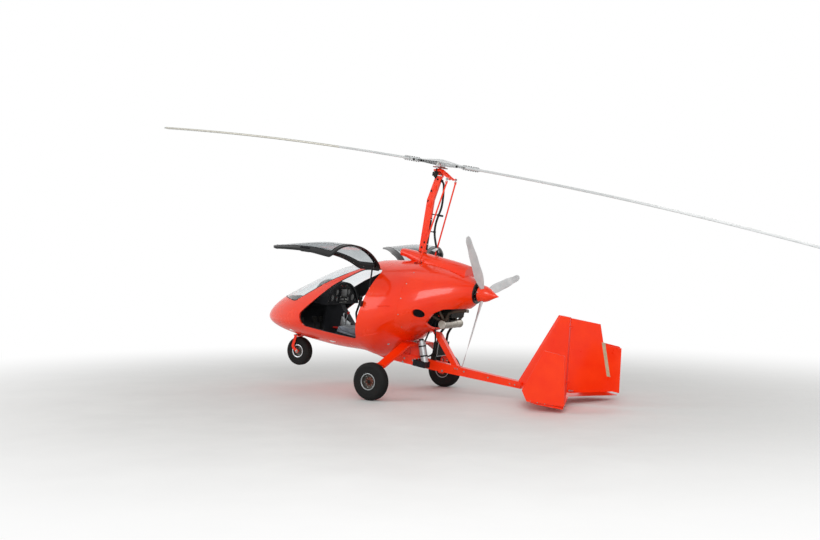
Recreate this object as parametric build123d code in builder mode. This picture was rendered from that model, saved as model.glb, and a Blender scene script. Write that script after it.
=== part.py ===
from build123d import *
import os
from math import cos, radians, sin

os.makedirs("parts", exist_ok=True)

# All sizes are in millimetres. Every piece is drawn on the aircraft standing level: X runs aft from
# the main axle, Y to starboard, Z up from the ground. finish() then leans each piece back about the
# main axle to the parked attitude and puts the origin on the ground under the rotor hub.

# Attitude
parked_pitch = 9.4
fit = 0.3                # clearance of a piece that seats on or in another
pin_fit = 0.05           # radial clearance of a running pin or axle
swing_gap = 8            # gap round a piece that swings past another

# Wheels
tyre_radius = 204
tyre_width = 128
track = 1595
rim_radius = 98
axle_radius = 12
nose_tyre_radius = 170
nose_tyre_width = 96
nose_rim_radius = 78
nose_wheel_x = -1564
nose_wheel_z = 160
stem_x = nose_wheel_x - 48
stem_radius = 16
stem_sleeve = 28
nose_axle_radius = 9
tail_wheel_x = 1620
tail_wheel_radius = 50
tail_wheel_width = 34
tail_axle_radius = 6

# Cabin pod
pod_wall = 22
glass_wall = 6
seam_x = 60              # where the rear cowl meets the cabin
bulkhead_x = -165
firewall_x = 170
floor_z = 432
panel_gap = 1.0          # gap between fixed panels

# Landing gear bow
bow_x = 40
bow_chord = 110
bow_thickness = 24
bow_top_z = 592
bow_flat = 250           # half length of the level middle of the bow
foot_z = 372             # height where the bow meets the axle plate
foot_thickness = 14

# Keel boom
keel_front_x = -450
keel_aft_x = 1400
keel_width = 80
keel_top_z = 437
keel_depth = 104
keel_aft_depth = 72

# Mast
mast_thickness = 34
mast_foot_chord = 94
mast_top_chord = 78
mast_foot_x = -82
mast_knee = (-50, 2200)
mast_top = (14, 2470)

# Rotor head
pitch_pivot = (8, 2498)
disc_tilt = 1.65         # backward tilt of the rotor at rest, on the level aircraft
hub_rise = 116           # teeter bolt above the pivots, along the rotor shaft
rotor_radius = 4265
blade_chord = 220
blade_thickness = 26
blade_droop = 160
rotor_heading = 1.6
eye_reach = 166          # control rod eyes, aft of the pivots and below them
eye_drop = 33
eye_y = 100
rod_foot = (22, 150, 1640)
rod_radius = 9
rod_end_z = 1405
rod_hole_radius = rod_radius + 26

# Propeller
prop_x = 735
prop_z = 1281
prop_radius = 838
spinner_radius = 92
spinner_length = 225
ring_radius = 124
blade_phase = -42.3

# Tail
stab_z = 405
stab_thickness = 44
plate_y = 735
plate_thickness = 22
fin_thickness = 52

# Doors
hinge_y = 372
hinge_z = 1392
door_open = 88
door_rail = 42           # width of the frame round the glass
door_wall = 20

PARKED = (
    Location((0, 0, tyre_radius), (0, parked_pitch, 0))
    * Location((0, 0, -tyre_radius))
)
pivot = Location((pitch_pivot[0], 0, pitch_pivot[1]), (0, disc_tilt, 0))
hub = pivot * Location((0, 0, hub_rise))
PARKED = Location((-(PARKED * hub).position.X, 0, 0)) * PARKED


def write_step(solid, name):
    """Lean a placed solid back to the parked attitude, label it and write its file."""
    parked = solid.moved(PARKED)
    parked.label = name
    export_step(parked, f"parts/{name}.step", write_pcurves=False)


def finish(piece, name, place=Location()):
    """Place a finished piece on the aircraft and write it."""
    write_step(piece.part.moved(place), name)


def finish_pair(piece, name, place=Location()):
    """A piece drawn on the starboard side, and its mirror image to port."""
    placed = piece.part.moved(place)
    write_step(placed, f"{name}_right")
    write_step(mirror(placed, about=Plane.XZ), f"{name}_left")


# Sections of the pod: station, half width, bottom, height of the widest point, top
pod_sections = [
    (-1990, 125, 450, 525, 622),
    (-1860, 240, 408, 540, 757),
    (-1620, 372, 377, 570, 925),
    (-1290, 482, 360, 630, 1130),
    (-900, 572, 356, 730, 1325),
    (-450, 622, 372, 830, 1450),
    (-200, 625, 420, 890, 1490),
    (0, 600, 612, 960, 1512),
    (250, 490, 770, 1070, 1512),
    (480, 330, 950, 1180, 1478),
    (600, 228, 1060, 1233, 1442),
    (700, 122, 1158, 1280, 1402),
]
nose_tip = (-2045, 0, 505)


def pod_rings(inset):
    """The pod's sections, an upper and a lower half ellipse, drawn in by a wall's thickness."""
    for station, half_width, bottom, widest, top in pod_sections:
        with BuildSketch(Plane.YZ.offset(station)) as ring:
            with BuildLine():
                for start, height in (
                    (0, top - widest), (90, top - widest), (180, widest - bottom), (270, widest - bottom)
                ):
                    EllipticalCenterArc((0, widest), half_width - inset, height - inset, start, arc_size=90)
            make_face()
        yield ring.sketch


def pod_form(inset):
    """A solid of the whole pod, from the nose tip to the propeller ring."""
    with BuildPart() as form:
        tip = Vertex(nose_tip[0] + inset, nose_tip[1], nose_tip[2])
        loft(sections=[tip, *pod_rings(inset)])
    return form.part


pod_outside = pod_form(0)
pod_inside = pod_form(pod_wall)
pod_glass_face = pod_form(glass_wall)
pod_door_face = pod_form(door_wall)

# Side outlines of the openings, X and Z, with a corner radius at each point
door_outline = [(-1300, 690), (-1262, 558), (-452, 560), (-312, 1368), (-590, 1322), (-890, 1092)]
door_radii = [70, 110, 45, 30, 160, 500]
screen_outline = [(-2300, 792), (-1440, 806), (-1010, 1112), (-560, 1372), (-480, 1500), (-480, 1800), (-2300, 1800)]
screen_radii = [1, 150, 500, 120, 20, 1, 1]


def outline(points, radii, inset=0):
    """A closed side outline with rounded corners, drawn in by an inset."""
    with BuildSketch(Plane.XZ) as shape:
        with BuildLine():
            FilletPolyline(*points, radius=radii, close=True)
        make_face()
        if inset:
            offset(amount=-inset, mode=Mode.REPLACE)
    return shape.sketch


half_foot = mast_foot_chord / 2
half_top = mast_top_chord / 2
mast_points = [
    (mast_foot_x - half_foot, keel_top_z), (mast_knee[0] - half_top - 3, mast_knee[1]),
    (mast_top[0] - half_top, mast_top[1]), (mast_top[0] + half_top, mast_top[1]),
    (mast_knee[0] + half_top + 3, mast_knee[1]), (mast_foot_x + half_foot, keel_top_z),
]


def mast_shape(clearance=0):
    """The mast's side outline, grown by a clearance for the slots it passes through."""
    with BuildSketch(Plane.XZ) as shape:
        with BuildLine():
            Polyline(*mast_points, close=True)
        make_face()
        if clearance:
            offset(amount=clearance, mode=Mode.REPLACE)
    return shape.sketch


# Where the control rods pass through the roof, on their way from the rotor head to the controls
eye = (pivot * Location((eye_reach, 0, -eye_drop))).position
rod_lean = ((rod_foot[0] - eye.X) / (eye.Z - rod_foot[2]), (rod_foot[1] - eye_y) / (eye.Z - rod_foot[2]))
rod_hole_z = rod_end_z + 30
roof_drop = eye.Z - 1492
rod_hole = (eye.X + rod_lean[0] * roof_drop, eye_y + rod_lean[1] * roof_drop)

# Cabin: a hollow shell with two doorways and the windscreen opening
with BuildPart() as cabin_shell:
    add(pod_outside)
    add(pod_inside, mode=Mode.SUBTRACT)
    split(bisect_by=Plane.YZ.offset(seam_x), keep=Keep.BOTTOM)
    extrude(outline(door_outline, door_radii), amount=1000, both=True, mode=Mode.SUBTRACT)
    extrude(outline(screen_outline, screen_radii), amount=1000, both=True, mode=Mode.SUBTRACT)
    extrude(mast_shape(3), amount=mast_thickness / 2 + 3, both=True, mode=Mode.SUBTRACT)
    for side in (-1, 1):
        with BuildSketch(Plane.XY.offset(rod_hole_z)):
            with Locations((rod_hole[0], side * rod_hole[1])):
                Circle(rod_hole_radius)
        extrude(amount=200, mode=Mode.SUBTRACT)
    with BuildSketch(Plane.XY):
        with Locations((stem_x, 0)):
            Circle(stem_sleeve + fit)
    extrude(amount=floor_z, mode=Mode.SUBTRACT)
finish(cabin_shell, "cabin_shell")

with BuildPart() as windscreen:
    add(pod_outside)
    add(pod_glass_face, mode=Mode.SUBTRACT)
    extrude(outline(screen_outline, screen_radii, fit), amount=1000, both=True, mode=Mode.INTERSECT)
finish(windscreen, "windscreen")

# Rear cowl: open below the engine
bay_outline = [(262, 600), (292, 880), (384, 1000), (468, 1060), (610, 1085), (800, 1110), (800, 600)]
duct_center = (262, 984)
duct_radii = (55, 46)
with BuildPart() as engine_cowl:
    add(pod_outside)
    add(pod_inside, mode=Mode.SUBTRACT)
    split(bisect_by=Plane.YZ.offset(seam_x + panel_gap), keep=Keep.TOP)
    with BuildSketch(Plane.XZ):
        with BuildLine():
            Polyline(*bay_outline, close=True)
        make_face()
        with Locations(duct_center):
            Ellipse(*duct_radii)
    extrude(amount=1000, both=True, mode=Mode.SUBTRACT)
    with BuildSketch(Plane.YZ.offset(600)):
        with Locations((0, prop_z)):
            Circle(ring_radius - 30)
    extrude(amount=200, mode=Mode.SUBTRACT)
finish(engine_cowl, "engine_cowl")

# Spine fairing: station, half width, centre height, half height
spine_sections = [
    (-312, 66, 1567, 44),
    (-200, 84, 1556, 56),
    (0, 122, 1510, 92),
    (300, 134, 1475, 106),
    (575, 112, 1450, 100),
]
with BuildPart() as spine_fairing:
    for station, half_width, centre, half_height in spine_sections:
        with BuildSketch(Plane.YZ.offset(station)):
            with Locations((0, centre)):
                Ellipse(half_width, half_height)
    loft()
    add(pod_outside, mode=Mode.SUBTRACT)
    extrude(mast_shape(3), amount=mast_thickness / 2 + 3, both=True, mode=Mode.SUBTRACT)
    for side in (-1, 1):
        with BuildSketch(Plane.XY.offset(rod_hole_z)):
            with Locations((rod_hole[0], side * rod_hole[1])):
                Circle(rod_hole_radius)
        extrude(amount=200, mode=Mode.SUBTRACT)
finish(spine_fairing, "spine_fairing")

with BuildPart() as prop_ring:
    with BuildSketch(Plane.YZ.offset(701)):
        with Locations((0, prop_z)):
            Circle(ring_radius)
            Circle(70, mode=Mode.SUBTRACT)
    extrude(amount=16)
    chamfer(prop_ring.faces().sort_by(Axis.X)[-1].outer_wire().edges(), 5)
finish(prop_ring, "prop_ring")


def bulkhead(station, thickness):
    """A wall across the inside of the pod."""
    with BuildPart() as wall:
        add(pod_inside)
        split(bisect_by=Plane.YZ.offset(station), keep=Keep.TOP)
        split(bisect_by=Plane.YZ.offset(station + thickness), keep=Keep.BOTTOM)
    return wall


cabin_bulkhead = bulkhead(bulkhead_x, 14)
firewall = bulkhead(firewall_x, 10)
with BuildPart() as bulkheads:
    add(cabin_bulkhead.part)
    add(firewall.part)
    extrude(mast_shape(fit), amount=mast_thickness / 2 + fit, both=True, mode=Mode.SUBTRACT)
finish(bulkheads, "bulkheads")

with BuildPart() as cabin_floor:
    add(pod_inside)
    split(bisect_by=Plane.XY.offset(floor_z), keep=Keep.BOTTOM)
    split(bisect_by=Plane.XY.offset(floor_z - 14), keep=Keep.TOP)
    split(bisect_by=Plane.YZ.offset(bulkhead_x - fit), keep=Keep.BOTTOM)
    with BuildSketch(Plane.XY.offset(floor_z - 14)):
        with Locations((stem_x, 0)):
            Circle(stem_sleeve)
            Circle(stem_radius + pin_fit, mode=Mode.SUBTRACT)
    extrude(amount=-60)
finish(cabin_floor, "cabin_floor")

# Instrument panel: a domed binnacle on the centre console, which carries the stick
panel_x = -1080
panel_half = 330
panel_base_z = 830
panel_top_z = 1090
with BuildPart() as instrument_panel:
    with BuildSketch(Plane.YZ.offset(panel_x - 190)):
        with BuildLine():
            panel_foot = Line((-panel_half, panel_base_z), (panel_half, panel_base_z))
            ThreePointArc((panel_half, panel_base_z), (0, panel_top_z), (-panel_half, panel_base_z))
        make_face()
    extrude(amount=230)
    with BuildSketch(Plane.YZ.offset(panel_x + 22)):
        with BuildLine():
            Line((-panel_half + 26, panel_base_z + 12), (panel_half - 26, panel_base_z + 12))
            ThreePointArc((panel_half - 26, panel_base_z + 12), (0, panel_top_z - 18), (-panel_half + 26, panel_base_z + 12))
        make_face()
    extrude(amount=40, mode=Mode.SUBTRACT)
    with BuildSketch(Plane.XZ):
        with BuildLine():
            Polyline(
                (panel_x - 150, floor_z + fit), (-700, floor_z + fit), (-700, 590), (-860, 640),
                (panel_x + 30, panel_base_z + 4), (panel_x - 150, panel_base_z + 4), close=True,
            )
        make_face()
    extrude(amount=45, both=True)
    with BuildLine() as stick_line:
        FilletPolyline((-790, 0, 610), (-835, 0, 760), (-800, 0, 900), radius=60)
    with BuildSketch(Plane(origin=stick_line.line @ 0, z_dir=stick_line.line % 0)):
        Circle(12)
    sweep()
finish(instrument_panel, "instrument_panel")

# Seats: a bent sheet on a narrow pedestal, with two cushions
seat_y = 245
seat_width = 380
seat_pan = [(-800, 566), (-372, 545), (-232, 1140), (-212, 1135), (-345, 524), (-800, 546)]
seat_post = [(-780, floor_z + fit), (-780, 560), (-372, 535), (-372, floor_z + fit)]
pan_cushion = [(-798, 567), (-798, 640), (-395, 606), (-374, 546)]
rest_cushion = [(-376, 608), (-440, 622), (-325, 1120), (-235.2, 1128), (-358.5, 604)]


def seat_side(points):
    """A side outline of a seat piece, on the seat's own centre plane."""
    with BuildSketch(Plane.XZ.offset(-seat_y)) as shape:
        with BuildLine():
            Polyline(*points, close=True)
        make_face()
    return shape.sketch


with BuildPart() as seats:
    extrude(seat_side(seat_pan), amount=seat_width / 2, both=True)
    extrude(seat_side(seat_post), amount=75, both=True)
    add(pod_inside, mode=Mode.INTERSECT)
    mirror(about=Plane.XZ)
finish(seats, "seats")

with BuildPart() as seat_cushions:
    extrude(seat_side(pan_cushion), amount=seat_width / 2 - 12, both=True)
    fillet(seat_cushions.edges(), 12)
    extrude(seat_side(rest_cushion), amount=seat_width / 2 - 12, both=True)
    mirror(about=Plane.XZ)
finish(seat_cushions, "seat_cushions")

# Keel boom, a long box that tapers aft, with the gear's saddle and the strut to the engine frame
strut_width = 60
with BuildPart() as keel_boom:
    with BuildSketch(Plane.XZ):
        with BuildLine():
            Polyline(
                (keel_front_x, 352), (keel_front_x + 120, keel_top_z - keel_depth), (300, keel_top_z - keel_depth),
                (keel_aft_x, keel_top_z - keel_aft_depth), (keel_aft_x, keel_top_z), (keel_front_x, keel_top_z),
                close=True,
            )
        make_face()
    extrude(amount=keel_width / 2, both=True)
    with BuildSketch(Plane.XZ):
        with Locations((bow_x, bow_top_z - bow_thickness - fit)):
            Rectangle(bow_chord, bow_top_z - bow_thickness - keel_top_z + 5, align=(Align.CENTER, Align.MAX))
        with BuildLine():
            Polyline((560, 400), (640, 400), (318, 760), (228, 760), close=True)
        make_face()
    extrude(amount=strut_width / 2, both=True)
    add(pod_outside, mode=Mode.SUBTRACT)
    extrude(mast_shape(fit), amount=mast_thickness / 2 + fit, both=True, mode=Mode.SUBTRACT)
finish(keel_boom, "keel_boom")

# Landing gear bow with its axle plates and stub axles
tyre_inner_y = track / 2 - tyre_width / 2
plate_outer_y = tyre_inner_y - 11
foot_y = plate_outer_y - foot_thickness
with BuildPart() as gear_bow:
    with BuildSketch(Plane.YZ.offset(bow_x - bow_chord / 2)):
        with BuildLine():
            bow_mid_z = bow_top_z - bow_thickness / 2
            FilletPolyline(
                (-foot_y - 4, foot_z), (-bow_flat, bow_mid_z), (bow_flat, bow_mid_z), (foot_y + 4, foot_z),
                radius=120,
            )
        trace(line_width=bow_thickness)
    extrude(amount=bow_chord)
    for side in (-1, 1):
        with BuildSketch(Plane.XZ.offset(-side * (foot_y + foot_thickness / 2))):
            with BuildLine():
                Polyline(
                    (-36, tyre_radius - 36), (36, tyre_radius - 36), (bow_x + bow_chord / 2, foot_z + 26),
                    (bow_x - bow_chord / 2, foot_z + 26), close=True,
                )
            make_face()
        extrude(amount=foot_thickness / 2, both=True)
        with BuildSketch(Plane.XZ.offset(-side * foot_y)):
            with Locations((0, tyre_radius)):
                Circle(axle_radius)
        extrude(amount=-side * (track / 2 + 40 - foot_y))
        with BuildSketch(Plane.XZ.offset(-side * (track / 2 + 31))):
            with Locations((0, tyre_radius)):
                Circle(axle_radius + 7)
        extrude(amount=-side * 9)
    add(keel_boom.part, mode=Mode.SUBTRACT)
finish(gear_bow, "gear_bow")


def tyre(centre, radius, width, bead):
    """A tyre on its rim, its axle across the aircraft."""
    x, y, z = centre
    with BuildPart() as ring:
        with BuildSketch(Plane.YZ.offset(x)):
            with Locations((y, z + (radius + bead) / 2)):
                RectangleRounded(width, radius - bead, (radius - bead) * 0.42)
        revolve(axis=Axis((x, 0, z), (0, 1, 0)))
    return ring


def rim(centre, radius, width, bore, outboard):
    """A dished wheel centre: a barrel with a flange at each side, a web and a hub."""
    x, y, z = centre
    half = width / 2
    web = half * 0.2
    with BuildPart() as wheel:
        with BuildSketch(Plane.YZ.offset(x)):
            with BuildLine():
                profile = [
                    (-half, radius - fit), (-half, radius - 9), (-half * 0.7, radius - 13), (web, radius - 13),
                    (web, bore + 26), (-half * 0.66, bore + 16), (-half * 0.66, bore + pin_fit),
                    (half * 0.5, bore + pin_fit), (half * 0.5, bore + 16), (web + 12, bore + 26),
                    (web + 12, radius - 13), (half * 0.7, radius - 13), (half, radius - 9), (half, radius - fit),
                ]
                Polyline(*[(y + outboard * across, z + out) for across, out in profile], close=True)
            make_face()
        revolve(axis=Axis((x, 0, z), (0, 1, 0)))
    return wheel


for side, name in ((-1, "left"), (1, "right")):
    wheel_centre = (0, side * track / 2, tyre_radius)
    finish(tyre(wheel_centre, tyre_radius, tyre_width, rim_radius), f"tyre_{name}")
    finish(rim(wheel_centre, rim_radius, tyre_width - 6, axle_radius, side), f"rim_{name}")

# Nose wheel on a swept fork that turns in a sleeve in the belly
nose_centre = (nose_wheel_x, 0, nose_wheel_z)
crown_z = nose_wheel_z + nose_tyre_radius + 6
crown_thickness = 12
fork_inner = nose_tyre_width / 2 + 7
fork_thickness = 9
finish(tyre(nose_centre, nose_tyre_radius, nose_tyre_width, nose_rim_radius), "nose_tyre")
finish(rim(nose_centre, nose_rim_radius, nose_tyre_width - 6, nose_axle_radius, -1), "nose_rim")

with BuildPart() as nose_fork:
    with BuildSketch(Plane.XY.offset(crown_z)):
        with Locations((stem_x + 6, 0)):
            RectangleRounded(76, 2 * (fork_inner + fork_thickness), 12)
    extrude(amount=crown_thickness)
    for side in (-1, 1):
        with BuildSketch(Plane.XZ.offset(-side * (fork_inner + fork_thickness / 2))):
            with BuildLine():
                FilletPolyline(
                    (stem_x + 4, crown_z + crown_thickness / 2), (nose_wheel_x - 72, nose_wheel_z + 40),
                    (nose_wheel_x, nose_wheel_z), radius=36,
                )
            trace(line_width=34)
            with Locations((nose_wheel_x, nose_wheel_z)):
                Circle(22)
        extrude(amount=fork_thickness / 2, both=True)
    with BuildSketch(Plane.XZ):
        with Locations((nose_wheel_x, nose_wheel_z)):
            Circle(nose_axle_radius)
    extrude(amount=fork_inner + fork_thickness + 8, both=True)
    with BuildSketch(Plane.XY.offset(crown_z)):
        with Locations((stem_x, 0)):
            Circle(stem_radius)
    extrude(amount=floor_z - 24 - crown_z)
finish(nose_fork, "nose_fork")

# Tail wheel, where the line from the main tyres meets the ground in the parked attitude
pitch = radians(parked_pitch)
tail_wheel_z = tyre_radius + (tail_wheel_radius - tyre_radius + tail_wheel_x * sin(pitch)) / cos(pitch)
stab_under = stab_z - stab_thickness / 2
with BuildPart() as tail_wheel:
    with BuildSketch(Plane.XZ):
        with Locations((tail_wheel_x, tail_wheel_z)):
            Circle(tail_wheel_radius)
            Circle(tail_axle_radius + pin_fit, mode=Mode.SUBTRACT)
    extrude(amount=tail_wheel_width / 2, both=True)
    fillet(tail_wheel.edges().filter_by(GeomType.CIRCLE).group_by(SortBy.RADIUS)[-1], 10)
finish(tail_wheel, "tail_wheel")

# Stabiliser: root and tip sections, swept back from the end of the boom to the end plates
plate_inner_y = plate_y - plate_thickness / 2
stab_sections = [(0, 1372, 1940, stab_thickness), (plate_inner_y, 1812, 2196, stab_thickness - 8)]


def wing_section(plane, nose_x, tail_x, mid, thickness):
    """A symmetric section: an elliptical nose and straight flanks to a thin tail."""
    chord = tail_x - nose_x
    with BuildSketch(plane) as section:
        with BuildLine():
            EllipticalCenterArc((nose_x + 0.3 * chord, mid), 0.3 * chord, thickness / 2, 90, arc_size=180)
            Polyline(
                (nose_x + 0.3 * chord, mid - thickness / 2), (tail_x, mid - 3), (tail_x, mid + 3),
                (nose_x + 0.3 * chord, mid + thickness / 2),
            )
        make_face()
    return section.sketch


with BuildPart() as stabiliser:
    loft(
        sections=[
            wing_section(Plane.XZ.offset(y), nose_x, tail_x, stab_z, thickness)
            for y, nose_x, tail_x, thickness in stab_sections
        ],
        ruled=True,
    )
    mirror(about=Plane.XZ)
    add(keel_boom.part, mode=Mode.SUBTRACT)
    with BuildSketch(Plane.XY.offset(stab_under - 6)):
        with Locations((tail_wheel_x - 6, 0)):
            Rectangle(110, tail_wheel_width + 22)
    extrude(amount=12)
    for side in (-1, 1):
        with BuildSketch(Plane.XZ.offset(-side * (tail_wheel_width / 2 + 8))):
            with BuildLine():
                Polyline(
                    (tail_wheel_x - 50, stab_under), (tail_wheel_x - 16, tail_wheel_z - 14),
                    (tail_wheel_x + 16, tail_wheel_z - 14), (tail_wheel_x + 30, stab_under), close=True,
                )
            make_face()
        extrude(amount=3, both=True)
    with BuildSketch(Plane.XZ):
        with Locations((tail_wheel_x, tail_wheel_z)):
            Circle(tail_axle_radius)
    extrude(amount=tail_wheel_width / 2 + 15, both=True)
finish(stabiliser, "stabiliser")

plate_outline = [(1740, 495), (1810, 396), (2212, 436), (2140, 927), (1915, 935)]
with BuildPart() as end_plates:
    with BuildSketch(Plane.XZ.offset(-plate_inner_y)):
        with BuildLine():
            FilletPolyline(*plate_outline, radius=14, close=True)
        make_face()
    extrude(amount=-plate_thickness)
    fillet(end_plates.edges().filter_by(Plane.XZ), 5)
    mirror(about=Plane.XZ)
finish(end_plates, "end_plates")

# Fin and rudder, the rudder turning about a line that leans back towards its foot
hinge_top = (1856, 1213)
hinge_foot = (1931, 435)
hinge_lean = (hinge_top[0] - hinge_foot[0]) / (hinge_top[1] - hinge_foot[1])
fin_foot_z = stab_z
fin_top_z = 1222
rudder_nose = 20
hinge_pin = 5


def hinge_x(z):
    return hinge_foot[0] + (z - hinge_foot[1]) * hinge_lean


def fin_section(z, nose_x, half_tail, half_depth):
    """A fin section: elliptical nose, flat back just ahead of the rudder's nose."""
    back = hinge_x(z) - rudder_nose - swing_gap
    front = (back - nose_x) * 0.4
    with BuildSketch(Plane.XY.offset(z)) as section:
        with BuildLine():
            EllipticalCenterArc((nose_x + front, 0), front, half_depth, 90, arc_size=180)
            Polyline((nose_x + front, -half_depth), (back, -half_tail), (back, half_tail), (nose_x + front, half_depth))
        make_face()
    return section.sketch


hinge_plane = Plane(
    origin=(hinge_x(800), 0, 800), x_dir=(1, 0, -hinge_lean), z_dir=(hinge_lean, 0, 1)
)
hinge_stations = (-250, 330)
lug_half = 6
with BuildPart() as fin:
    loft(
        sections=[
            fin_section(fin_foot_z, 1330, rudder_nose, fin_thickness / 2),
            fin_section(fin_top_z, 1692, rudder_nose - 2, fin_thickness / 2 - 6),
        ],
        ruled=True,
    )
    for height in hinge_stations:
        with BuildSketch(hinge_plane.offset(height - lug_half)):
            with Locations((-20, 0)):
                Rectangle(40, 20)
            Circle(10)
            Circle(hinge_pin + pin_fit, mode=Mode.SUBTRACT)
        extrude(amount=2 * lug_half)
    add(stabiliser.part, mode=Mode.SUBTRACT)
    add(keel_boom.part, mode=Mode.SUBTRACT)
finish(fin, "fin")


def rudder_section(z, tail_x):
    """A rudder section: a round nose about the hinge and straight flanks."""
    with BuildSketch(Plane.XY.offset(z)) as section:
        with BuildLine():
            ThreePointArc((hinge_x(z), rudder_nose), (hinge_x(z) - rudder_nose, 0), (hinge_x(z), -rudder_nose))
            Polyline((hinge_x(z), -rudder_nose), (tail_x, -3), (tail_x, 3), (hinge_x(z), rudder_nose))
        make_face()
    return section.sketch


rudder_foot = [(1850, 380), (hinge_foot[0] - 30, 441), (hinge_foot[0] + 30, 447), (2400, 560), (2500, 560), (2500, 380)]
trim_tab = [(2205, 1016), (2428, 1016), (2478, 561), (2350, 561)]   # a flat plate behind the tail edge
trim_tab_half = 2.5
with BuildPart() as rudder:
    loft(sections=[rudder_section(400, 2438), rudder_section(1216, 2165)], ruled=True)
    with BuildSketch(Plane.XZ):
        with BuildLine():
            Polyline(*rudder_foot, close=True)
        make_face()
    extrude(amount=100, both=True, mode=Mode.SUBTRACT)
    with BuildSketch(Plane.XZ):
        with BuildLine():
            Polyline(*trim_tab, close=True)
        make_face()
    extrude(amount=trim_tab_half, both=True)
    for height in hinge_stations:
        with BuildSketch(hinge_plane.offset(height - lug_half - 1)):
            with Locations((-12, 0)):
                Rectangle(52, 90)
        extrude(amount=2 * lug_half + 2, mode=Mode.SUBTRACT)
        with BuildSketch(hinge_plane.offset(height - lug_half - 10)):
            Circle(hinge_pin)
        extrude(amount=2 * lug_half + 20)
finish(rudder, "rudder")

# Mast: one broad plate from the keel to the rotor head, kinked back at its top
lug_reach = 44           # roll lugs, ahead of and behind the pivots
roll_pin = 6
with BuildPart() as mast:
    extrude(mast_shape(), amount=mast_thickness / 2, both=True)
    with BuildSketch(Plane.XY.offset(mast_top[1])):
        with Locations((pitch_pivot[0], 0)):
            Rectangle(2 * lug_reach + 20, 44)
    extrude(amount=8)
    for side in (-1, 1):
        with BuildSketch(Plane.YZ.offset(pitch_pivot[0] + side * (lug_reach + 5))):
            with BuildLine():
                Polyline((-15, mast_top[1] + 4), (15, mast_top[1] + 4), (12, pitch_pivot[1]), (-12, pitch_pivot[1]), close=True)
            make_face()
            with Locations((0, pitch_pivot[1])):
                Circle(12)
                Circle(roll_pin + pin_fit, mode=Mode.SUBTRACT)
        extrude(amount=5, both=True)
finish(mast, "mast")

# Gimbal between the mast's lugs: roll pins fore and aft, pitch pins to the sides
pitch_pin = 6
cheek_y = 29
with BuildPart() as gimbal:
    Box(2 * (lug_reach - 3), 44, 26)
    with BuildSketch(Plane.YZ):
        Circle(roll_pin)
    extrude(amount=lug_reach + 12, both=True)
    with BuildSketch(Plane.XZ):
        Circle(pitch_pin)
    extrude(amount=cheek_y + 7, both=True)
finish(gimbal, "gimbal", Location((pitch_pivot[0], 0, pitch_pivot[1])))

# Rotor head on the pitch pins: two cheeks, a top plate, the bearing housing and the two arms aft
head_plate_z = 26
arm_y = 40
cross_tube = 7
spindle = 14
with BuildPart() as rotor_head:
    for side in (-1, 1):
        with BuildSketch(Plane.XZ.offset(-side * cheek_y)):
            with BuildLine():
                Polyline((-30, -10), (30, -10), (38, head_plate_z), (-38, head_plate_z), close=True)
            make_face()
            Circle(pitch_pin + pin_fit, mode=Mode.SUBTRACT)
        extrude(amount=4, both=True)
        with BuildSketch(Plane.XZ.offset(-side * arm_y)):
            with BuildLine():
                Polyline(
                    (30, head_plate_z), (30, head_plate_z + 8), (70, head_plate_z + 8),
                    (eye_reach + 12, -eye_drop + 4), (eye_reach + 4, -eye_drop - 12), close=True,
                )
            make_face()
            with Locations((eye_reach, -eye_drop)):
                Circle(13)
        extrude(amount=4, both=True)
    with BuildSketch(Plane.XY.offset(head_plate_z)):
        with Locations((8, 0)):
            RectangleRounded(124, 96, 10)
    extrude(amount=8)
    with BuildSketch(Plane.XZ):
        with Locations((eye_reach, -eye_drop)):
            Circle(cross_tube)
    extrude(amount=eye_y + 12, both=True)
    with BuildSketch(Plane.XY.offset(head_plate_z + 8)):
        Circle(38)
        Circle(spindle + pin_fit, mode=Mode.SUBTRACT)
    extrude(amount=26)
finish(rotor_head, "rotor_head", pivot)

# Rotor spindle with the pre-rotator's ring gear and the teeter tower
heading = Location((0, 0, 0), (0, 0, -rotor_heading))
bar_width = 90
tower_y = bar_width / 2 + 6
ring_gear = 80
teeter_bolt = 8
gear_z = head_plate_z + 40
with BuildPart() as rotor_tower:
    with BuildSketch(Plane.XY.offset(head_plate_z + 10)):
        Circle(spindle)
    extrude(amount=30)
    with BuildSketch(Plane.XY.offset(gear_z)):
        Circle(ring_gear)
    extrude(amount=12)
    for side in (-1, 1):
        with BuildSketch(Plane.XZ.offset(-side * tower_y)):
            with BuildLine():
                Polyline((-34, gear_z + 12), (34, gear_z + 12), (16, hub_rise), (-16, hub_rise), close=True)
            make_face()
            with Locations((0, hub_rise)):
                Circle(16)
        extrude(amount=4, both=True)
    with BuildSketch(Plane.XZ):
        with Locations((0, hub_rise)):
            Circle(teeter_bolt)
    extrude(amount=tower_y + 12, both=True)
finish(rotor_tower, "rotor_tower", pivot * heading)

# Hub bar, thick at the teeter bolt and thin towards the straps that grip the blades
bar_end = 390
strap_end = 480
bar_half = 22
strap = 7
blade_upper = blade_thickness * 0.6
blade_lower = blade_thickness * 0.4
with BuildPart() as hub_bar:
    with BuildSketch(Plane.XZ):
        with BuildLine():
            Polyline((-bar_end, -9), (0, -bar_half), (bar_end, -9), (bar_end, 9), (0, bar_half), (-bar_end, 9), close=True)
        make_face()
        Circle(teeter_bolt + pin_fit, mode=Mode.SUBTRACT)
    extrude(amount=bar_width / 2, both=True)
    for side in (-1, 1):
        with BuildSketch(Plane.XZ):
            with BuildLine():
                over = blade_upper + fit
                under = -blade_lower - fit
                Polyline(
                    (side * (bar_end - 100), under - strap), (side * strap_end, under - strap),
                    (side * strap_end, under), (side * bar_end, under), (side * bar_end, over),
                    (side * strap_end, over), (side * strap_end, over + strap),
                    (side * (bar_end - 100), over + strap), close=True,
                )
            make_face()
        extrude(amount=bar_width / 2 - 8, both=True)
finish(hub_bar, "hub_bar", hub * heading)

# Blades: one section swept along the arc of the blade's droop
blade_root = bar_end + 1
spar = 0.25 * blade_chord


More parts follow.
